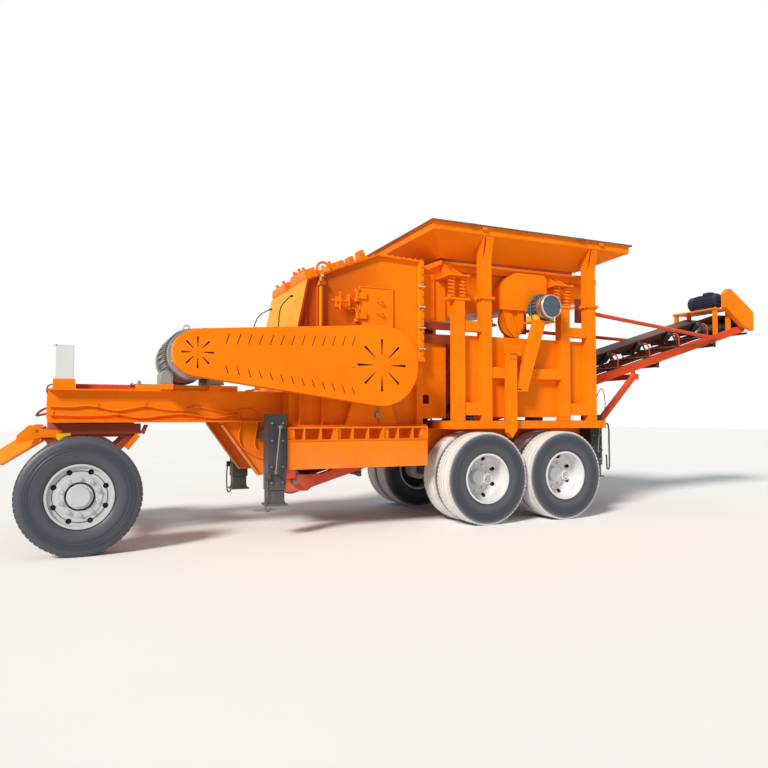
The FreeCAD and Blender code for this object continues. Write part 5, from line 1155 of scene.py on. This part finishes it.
class CRUSHER_OT_leg_fittings(bpy.types.Operator):
    """Make the legs' handles, hook bars, screws and cables"""
    bl_idname = "crusher.leg_fittings"
    bl_label = "Make the Leg Fittings"

    def execute(self, context):
        for name, (x, y, foot) in LEGS.items():
            side = math.copysign(1, y)
            front = name.startswith("leg_front")
            form = Form()
            face = y + side * 0.1
            out, top = face + side * 0.02, foot + 0.36
            form.pipe(led(((x - 0.125, out, foot + 0.33), (x - 0.135, out, foot + 0.15),
                           (x - 0.125, out, foot - 0.03), (x - 0.09, out, foot - 0.045),
                           (x - 0.07, out, foot - 0.01))), 0.009, 8)
            form.block(spot(x - 0.14, face, foot + 0.29), spot(x - 0.075, face + side * 0.03, top))
            form.piece(name + "_hook", "chassis", ["charcoal_paint"])
            form = Form()
            form.rod(spot(x + 0.02, face, 1.20), spot(x + 0.02, face + side * 0.05, 1.20), 0.024, 14)
            form.rod(spot(x + 0.02, face + side * 0.045, 1.20), spot(x - 0.03, face + side * 0.06, top),
                     0.010, 10)
            form.rod(spot(x - 0.03, face, top), spot(x - 0.03, face + side * 0.07, top), 0.018, 12)
            for z in (foot + 0.25, foot + 0.42, 1.05, 1.24):
                form.nut(spot(x + 0.06, face, z), (0, side, 0), 0.024, 0.016)
                form.nut(spot(x - 0.06, face, z), (0, side, 0), 0.024, 0.016)
            form.piece(name + "_screw", "chassis", ["bare_steel"])
            if not front:
                form = Form()
                out, root = face + side * 0.03, face - side * 0.05
                form.pipe(led(((x + 0.10, out, 1.21), (x + 0.19, out, 1.19), (x + 0.20, out, 0.92),
                               (x + 0.20, out, 0.62), (x + 0.17, out, 0.58), (x + 0.155, out, 0.62),
                               (x + 0.15, out, 0.78))), 0.011, 8)
                form.piece(name + "_crank", "chassis", ["charcoal_paint"])
                form = Form()
                form.pipe(led(((x, root, 1.34), (x + 0.03, face, 1.62), (x + 0.12, face, 1.70),
                               (x + 0.17, face, 1.50), (x + 0.12, face, 1.33), (x + 0.09, root, 1.30)), 10),
                          0.006, 8)
                form.piece(name + "_cable", "chassis", ["red_orange"])
        return {"FINISHED"}


class CRUSHER_OT_motor_fittings(bpy.types.Operator):
    """Make the motors' eyebolt, cowl rings, grilles, fins, feet and tension screws"""
    bl_idname = "crusher.motor_fittings"
    bl_label = "Make the Motor Fittings"

    def execute(self, context):
        form = Form()
        top = MOTOR[1] + 0.27
        eye = spot(MOTOR[0], -0.30, top + 0.075)
        form.rod(spot(MOTOR[0], -0.30, top - 0.03), spot(MOTOR[0], -0.30, top + 0.04), 0.022, 12)
        form.pipe([eye + Vector((0.036 * math.cos(a), 0, 0.036 * math.sin(a)))
                   for a in (2 * math.pi * i / 20 for i in range(20))], 0.010, 8, looped=True)
        for angle in range(22, 382, 45):
            way, side = round_about(math.radians(angle))
            form.nut(spot(MOTOR[0], -0.90, MOTOR[1]) + way * 0.235, NEAR, 0.022, 0.014)
        form.piece("motor_eye", "chassis", ["bright_steel"])

        form = Form()
        grille(form, spot(MOTOR[0], 0.243, MOTOR[1]), (0.07, 0.12, 0.17, 0.22, 0.26), 32, 0.004, 8,
               (0.05, 0.275), 0.005)
        form.lathe(((0, 0.06), (0.01, 0.055), (0.012, 0.0)), spot(MOTOR[0], 0.238, MOTOR[1]), -NEAR)
        form.piece("motor_grille", "chassis", ["motor_grey"])

        form = Form()
        fin_ring(form, spot(MOTOR[0], -0.78, MOTOR[1]), 0.24, 0.052, (0.0025, 0.0025), -NEAR * 0.24, 84,
                 -0.72)
        form.piece("motor_fins", "chassis", ["motor_grey"])

        x, z = FEED_MOTOR
        form = Form()
        fin_ring(form, spot(x, -0.89, z), 0.137, 0.018, (0.003, 0.002), NEAR * 0.175, 20, -0.7)
        form.piece("feeder_motor_fins", "chassis", ["motor_slate"])
        form = Form()
        form.ring(((0, 0.150), (0, 0.157), (0.022, 0.157), (0.034, 0.148), (0.034, 0.140), (0.012, 0.140)),
                  spot(x, -1.172, z), NEAR, 40)
        form.ring(((0, 0.154), (0, 0.1585), (0.05, 0.1585), (0.05, 0.154)), spot(x, -1.088, z), NEAR, 40)
        form.piece("feeder_motor_ring", "chassis", ["bright_steel"])
        form = Form()
        grille(form, spot(x, -1.2015, z), (0.03, 0.055, 0.08, 0.105, 0.125), 28, 0.0035, 6, (0, 0.128),
               0.0035)
        cable = ((x - 0.06, -0.98, z + 0.165), (x - 0.14, -0.97, z + 0.12), (x - 0.17, -0.99, z - 0.1),
                 (x - 0.13, -1.04, z - 0.26), (x - 0.17, -1.00, z - 0.45), (x - 0.12, -0.995, z - 0.80))
        form.pipe(led(cable), 0.009, 8)
        form.piece("feeder_motor_grille", "chassis", ["motor_slate"])
        form = Form()
        for dx in (-0.115, 0.115):
            form.block(spot(x + dx - 0.035, -1.06, z - 0.176), spot(x + dx + 0.035, -0.86, z - 0.10))
        form.piece("feeder_motor_feet", "chassis", ["yellow_paint"], 0.003)

        hx, level = 5.095, stringer_z(4.90) + 0.54
        hz = level + 0.165
        form = Form()
        fin_ring(form, spot(hx, 0.06, hz), 0.115, 0.016, (0.003, 0.002), NEAR * 0.37, 22, -0.75)
        form.piece("conveyor_motor_fins", "chassis", ["motor_navy"])

        form = Form()
        for x, y in ((-3.99, -0.44), (-3.99, 0.50)):
            form.rod(spot(x, y, 1.65), spot(x + 0.24, y, 1.65), 0.016, 12)
            form.nut(spot(x - 0.01, y, 1.65), -ALONG, 0.045, 0.03)
            form.nut(spot(x + 0.05, y, 1.65), ALONG, 0.045, 0.026)
        form.piece("tension_screws", "chassis", ["rusty_steel"])
        form = Form()
        for y in (-0.44, 0.50):
            form.block(spot(-3.955, y - 0.05, 1.60), spot(-3.925, y + 0.05, 1.70))
        for x0, x1 in ((-3.76, -3.62), (-3.22, -3.08)):
            form.prism([spot(x0, -0.735, 1.655), spot(x1, -0.735, 1.655), spot(x1 - 0.03, -0.735, 1.80),
                        spot(x0 + 0.03, -0.735, 1.80)], -NEAR * 0.02)
        form.piece("motor_feet", "chassis", ["motor_grey"], 0.002)
        return {"FINISHED"}


class CRUSHER_OT_frame_fittings(bpy.types.Operator):
    """Make the hopper's wear edge, dark red strips round its seam and sheets of painted shade on the
    feeder's sides, weld beads, front post, the deck edge in painted shade and dolly plates
    """
    bl_idname = "crusher.frame_fittings"
    bl_label = "Make the Frame Fittings"

    def execute(self, context):
        low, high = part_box("feed_hopper")
        form = Form()
        z0, z1, sheet = high.z - 0.020, high.z - 0.001, 0.004
        for x in (low.x - sheet, high.x):
            form.block((x, low.y, z0), (x + sheet, high.y, z1))
        for y in (low.y - sheet, high.y):
            form.block((low.x, y, z0), (high.x, y + sheet, z1))
            for x in (-0.10, 1.59):
                form.block(spot(x - 0.05, y - 0.003, z0 - 0.012), spot(x + 0.05, y + sheet + 0.003, high.z))
        form.piece("hopper_wear_edge", "chassis", ["rusty_steel"])

        # Dark red strips round the hopper's lower seam, and dark red sheets on the feeder's sides that
        # paint the shade of its recesses
        form = Form()
        seam = low.z
        for y in (-0.618, 0.612):
            form.block(spot(-0.35, y, seam - 0.05), spot(1.82, y + 0.006, seam + 0.06))
        for x in (-0.352, 1.815):
            form.block(spot(x, -0.618, seam - 0.05), spot(x + 0.006, 0.618, seam + 0.06))
        # Painted shade: thin dark sheets where the feeder's side panels lie in recesses
        for side in (-1, 1):
            for x0, x1, lower, upper in ((-0.63, -0.20, 2.415, 2.51), (-0.63, -0.20, 2.237, 2.357),
                                         (-0.63, -0.575, 2.35, 2.42), (-0.46, -0.42, 2.35, 2.42),
                                         (1.80, 1.98, 2.63, 2.97)):
                form.block(spot(x0, side * 0.69 - 0.005, lower), spot(x1, side * 0.69 + 0.005, upper))
        form.piece("feeder_shade_sheets", "chassis", ["dark_red_paint"])

        form = Form()
        bead = 0.0045
        for side in (-1, 1):
            for key, x in POSTS.items():
                form.rod(spot(x, side * POST_Y, 1.262), spot(x + POST_WIDTH, side * POST_Y, 1.262), bead, 6)
            for x0, x1, zs in ((POSTS["a"], POSTS["b"], (2.38, 2.51, 1.33, 1.49)),
                               (POSTS["b"], POSTS["c"], (1.80, 1.94)),
                               (POSTS["c"], POSTS["d"], (2.38, 2.51, 1.33, 1.49))):
                for level in zs:
                    for x in (x0 + POST_WIDTH, x1):
                        form.rod(spot(x, side * 0.99, level), spot(x, side * 0.90, level), bead, 6)
            form.rod(spot(-2.44, side * 1.0, 1.053), spot(-0.70, side * 1.0, 1.053), bead, 6)
            form.rod(spot(-3.07, side * 0.508, NECK_LOW), spot(-2.38, side * 0.508, NECK_LOW), bead, 6)
        form.piece("weld_beads", "chassis", ["orange_paint"])

        form = Form()
        form.rod(spot(0.38, -1.03, 2.12), spot(0.50, -1.10, 2.12), 0.010, 10)
        form.rod(spot(0.42, -1.10, 2.12), spot(0.58, -1.10, 2.12), 0.009, 10)
        for x in (0.43, 0.49):
            form.nut(spot(x, -1.09, 2.05), NEAR, 0.022, 0.014)
        form.piece("stand_handle", "chassis", ["orange_paint"])

        form = Form()
        form.block(spot(-4.755, -0.575, 1.690), spot(-4.585, -0.425, 2.05))
        form.mark = 1
        form.block(spot(-4.775, -0.59, NECK_TOP), spot(-4.568, -0.41, 1.70))
        form.mark = 0
        form.block(spot(-4.775, -0.575, 2.035), spot(-4.74, -0.50, 2.05))
        post = form.piece("front_post_box", "chassis", ["pale_grey_paint", "orange_paint"], 0.002)
        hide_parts("front_post")
        # The deck edge: an upstand in the darker, redder orange, which paints the shade that lies on it
        form = Form()
        form.prism([spot(-4.565, -0.45, NECK_TOP), spot(-3.90, -0.45, NECK_TOP), spot(-3.98, -0.45, 1.655),
                    spot(-4.565, -0.45, 1.655)], -NEAR * 0.012)
        form.block(spot(-4.52, -0.455, NECK_TOP), spot(-4.49, -0.38, 1.62))
        form.piece("shaded_deck_edge", "chassis", ["red_orange"], 0.002)

        form = Form()
        for y in (-0.44, 0.44):
            form.block(spot(-4.90, y - 0.03, 1.09), spot(-4.84, y + 0.03, 1.13))
        form.rod(spot(-4.916, -0.50, 1.17), spot(-4.916, -0.465, 1.17), 0.014, 14)
        form.piece("dolly_pins", "dolly", ["rusty_steel"])
        form = Form()
        for side in (-1, 1):
            form.block(spot(-4.684, side * 0.496 - 0.006, 1.128), spot(-3.918, side * 0.496 + 0.006, 1.240))
            bar = ((-3.927, 1.14), (-3.886, 1.228), (-3.844, 1.225), (-3.884, 1.122))
            form.prism([spot(x, side * 0.53, z) for x, z in bar], NEAR * side * 0.03)
            form.mark = 1
            strut = ((-4.081, 0.992), (-3.966, 1.134), (-3.924, 1.107), (-4.04, 0.956))
            form.prism([spot(x, side * 0.53, z) for x, z in strut], NEAR * side * 0.05)
            brace = ((-4.854, 1.13), (-4.811, 1.13), (-4.749, 1.052), (-4.793, 1.019))
            form.prism([spot(x, side * 0.45, z) for x, z in brace], NEAR * side * 0.05)
            form.mark = 2
            lug = ((-4.733, 1.13), (-4.602, 1.145), (-4.594, 1.12), (-4.671, 1.104), (-4.708, 1.063),
                   (-4.732, 1.087))
            form.prism([spot(x, side * 0.51, z) for x, z in lug], NEAR * side * 0.02)
            form.mark = 0
        form.piece("dolly_plates", "dolly", ["dark_red_paint", "orange_paint", "yellow_paint"], 0.002)
        return {"FINISHED"}


class CRUSHER_OT_conveyor_fittings(bpy.types.Operator):
    """Make the idler arms, the return rollers and the belt scraper"""
    bl_idname = "crusher.conveyor_fittings"
    bl_label = "Make the Conveyor Fittings"

    def execute(self, context):
        form = Form()
        run = Vector((1, 0, 0.30)).normalized()
        square = Vector((-run.z, 0, run.x))
        tail = Vector((-2.203, 0, stringer_z(-2.203) + 0.29 - 0.14 * math.hypot(1, 0.3)))
        head = Vector((HEAD_X, 0, stringer_z(HEAD_X) + 0.29 - 0.14 * math.hypot(1, 0.3)))
        first, last = tail + run * 0.65, head - run * 0.85
        for i in range(11):
            centre = first.lerp(last, i / 10)
            for side in (-1, 1):
                foot = centre - square * 0.03 + Vector((0, side * 0.412, 0))
                path = smooth_path([spot(*(foot + square * h + run * r + Vector((0, side * o, 0))))
                                    for h, r, o in ((0, 0, 0), (0.09, 0.015, 0.012), (0.17, 0.03, 0.008),
                                                    (0.225, 0.02, -0.02), (0.235, -0.01, -0.045))], 6)
                form.pipe(path, 0.011, 8)
                for dr in (-0.045, 0.045):
                    form.nut(spot(*(foot + run * dr + square * 0.006)), square, 0.02, 0.014)
        form.piece("idler_arms", "chassis", ["red_orange"])

        form = Form()
        for i in range(6):
            x = -1.35 + i * 1.25
            z = stringer_z(x) - 0.045
            form.rod(spot(x, -0.36, z), spot(x, 0.36, z), 0.03, 16)
            form.rod(spot(x, -0.40, z), spot(x, 0.40, z), 0.012, 10)
            for side in (-1, 1):
                form.block(spot(x - 0.03, side * 0.40 - 0.006, z - 0.035),
                           spot(x + 0.03, side * 0.40 + 0.006, z + 0.075))
        form.piece("return_rollers", "chassis", ["idler_steel"])

        form = Form()
        z = head.z - 0.155
        form.rod(spot(HEAD_X + 0.11, -0.42, z), spot(HEAD_X + 0.11, 0.42, z), 0.018, 12)
        form.block(spot(HEAD_X + 0.095, -0.31, z + 0.01), spot(HEAD_X + 0.115, 0.31, z + 0.055))
        form.piece("belt_scraper", "chassis", ["rusty_steel"])
        return {"FINISHED"}


class CRUSHER_OT_stage(bpy.types.Operator):
    """Set up the pale floor, the soft light and the camera"""
    bl_idname = "crusher.stage"
    bl_label = "Set the Stage"

    def execute(self, context):
        scene, look = context.scene, context.scene.crusher_stage
        scene.view_settings.view_transform = "Standard"
        form = Form()
        form.block((-60, -60, -0.1), (60, 60, 0))
        floor = bpy.data.objects.new("floor", form.mesh("floor", [pale_floor(look.floor)]))
        scene.collection.objects.link(floor)
        scene.world = studio_world(look.fill)
        lamp = bpy.data.lights.new("sun", "SUN")
        lamp.energy = look.key
        lamp.angle = math.radians(14)
        lamp.color = (1.0, 0.95, 0.86)
        sun = bpy.data.objects.new("sun", lamp)
        sun.rotation_euler = Vector((-0.74, -0.50, 0.62)).to_track_quat("Z", "Y").to_euler()
        scene.collection.objects.link(sun)
        lens = bpy.data.cameras.new("camera")
        lens.sensor_width = 36.0
        lens.lens = look.focal
        camera = bpy.data.objects.new("camera", lens)
        camera.location = spot(look.aim_x, -look.reach, look.height)
        way = Vector((math.sin(look.azimuth) * math.cos(look.pitch),
                      math.cos(look.azimuth) * math.cos(look.pitch), math.sin(look.pitch)))
        camera.rotation_euler = way.to_track_quat("-Z", "Y").to_euler()
        scene.collection.objects.link(camera)
        scene.camera = camera
        return {"FINISHED"}


def seen_rays(tree):
    """A socket that is 1 for the camera and for what metal and glass show."""
    path = tree.nodes.new("ShaderNodeLightPath")
    straight = maths(tree, "MAXIMUM", path.outputs["Is Camera Ray"], path.outputs["Is Glossy Ray"])
    return maths(tree, "MAXIMUM", straight, path.outputs["Is Transmission Ray"])


def pale_floor(colour):
    material, tree, shader = blank_material("pale floor")
    place = tree.nodes.new("ShaderNodeTexCoord").outputs["Object"]
    tone = mixed(tree, noise(tree, place, 0.6, 3.0), shade(colour, 0.97), shade(colour, 1.03))
    tree.links.new(tone, shader.inputs["Base Color"])
    shader.inputs["Roughness"].default_value = 0.9
    return material


def studio_world(fill):
    world = bpy.data.worlds.new("studio")
    world.use_nodes = True
    tree = world.node_tree
    soft = tree.nodes["Background"]
    soft.inputs["Color"].default_value = (0.88, 0.94, 1.0, 1)
    soft.inputs["Strength"].default_value = fill
    shown = node(tree, "ShaderNodeBackground", {"Color": (1, 1, 1, 1), "Strength": 1.0})
    mix = node(tree, "ShaderNodeMixShader", {0: seen_rays(tree), 1: soft.outputs[0], 2: shown.outputs[0]})
    tree.links.new(mix.outputs[0], tree.nodes["World Output"].inputs[0])
    return world


class CRUSHER_PT_panel(bpy.types.Panel):
    """Lists the steps that dress the crusher"""
    bl_idname = "CRUSHER_PT_panel"
    bl_label = "Rock Crusher"
    bl_space_type = "VIEW_3D"
    bl_region_type = "UI"
    bl_category = "Crusher"

    def draw(self, context):
        for step in STEPS:
            self.layout.operator(step.bl_idname)


STEPS = (CRUSHER_OT_stage, CRUSHER_OT_finishes, CRUSHER_OT_tyres, CRUSHER_OT_wheel_nuts, CRUSHER_OT_springs,
         CRUSHER_OT_bolts, CRUSHER_OT_guard_inside, CRUSHER_OT_crusher_fittings, CRUSHER_OT_conduits,
         CRUSHER_OT_leg_fittings, CRUSHER_OT_motor_fittings, CRUSHER_OT_frame_fittings,
         CRUSHER_OT_conveyor_fittings)


def register():
    for name, group in SETTINGS:
        bpy.utils.register_class(group)
        setattr(bpy.types.Scene, name, PointerProperty(type=group))
    for step in STEPS + (CRUSHER_PT_panel,):
        bpy.utils.register_class(step)


def unregister():
    for step in reversed(STEPS + (CRUSHER_PT_panel,)):
        bpy.utils.unregister_class(step)
    for name, group in reversed(SETTINGS):
        delattr(bpy.types.Scene, name)
        bpy.utils.unregister_class(group)


def main():
    """Runs every step in order."""
    register()
    for step in STEPS:
        family, name = step.bl_idname.split(".")
        getattr(getattr(bpy.ops, family), name)()


if __name__ == "__main__":
    main()
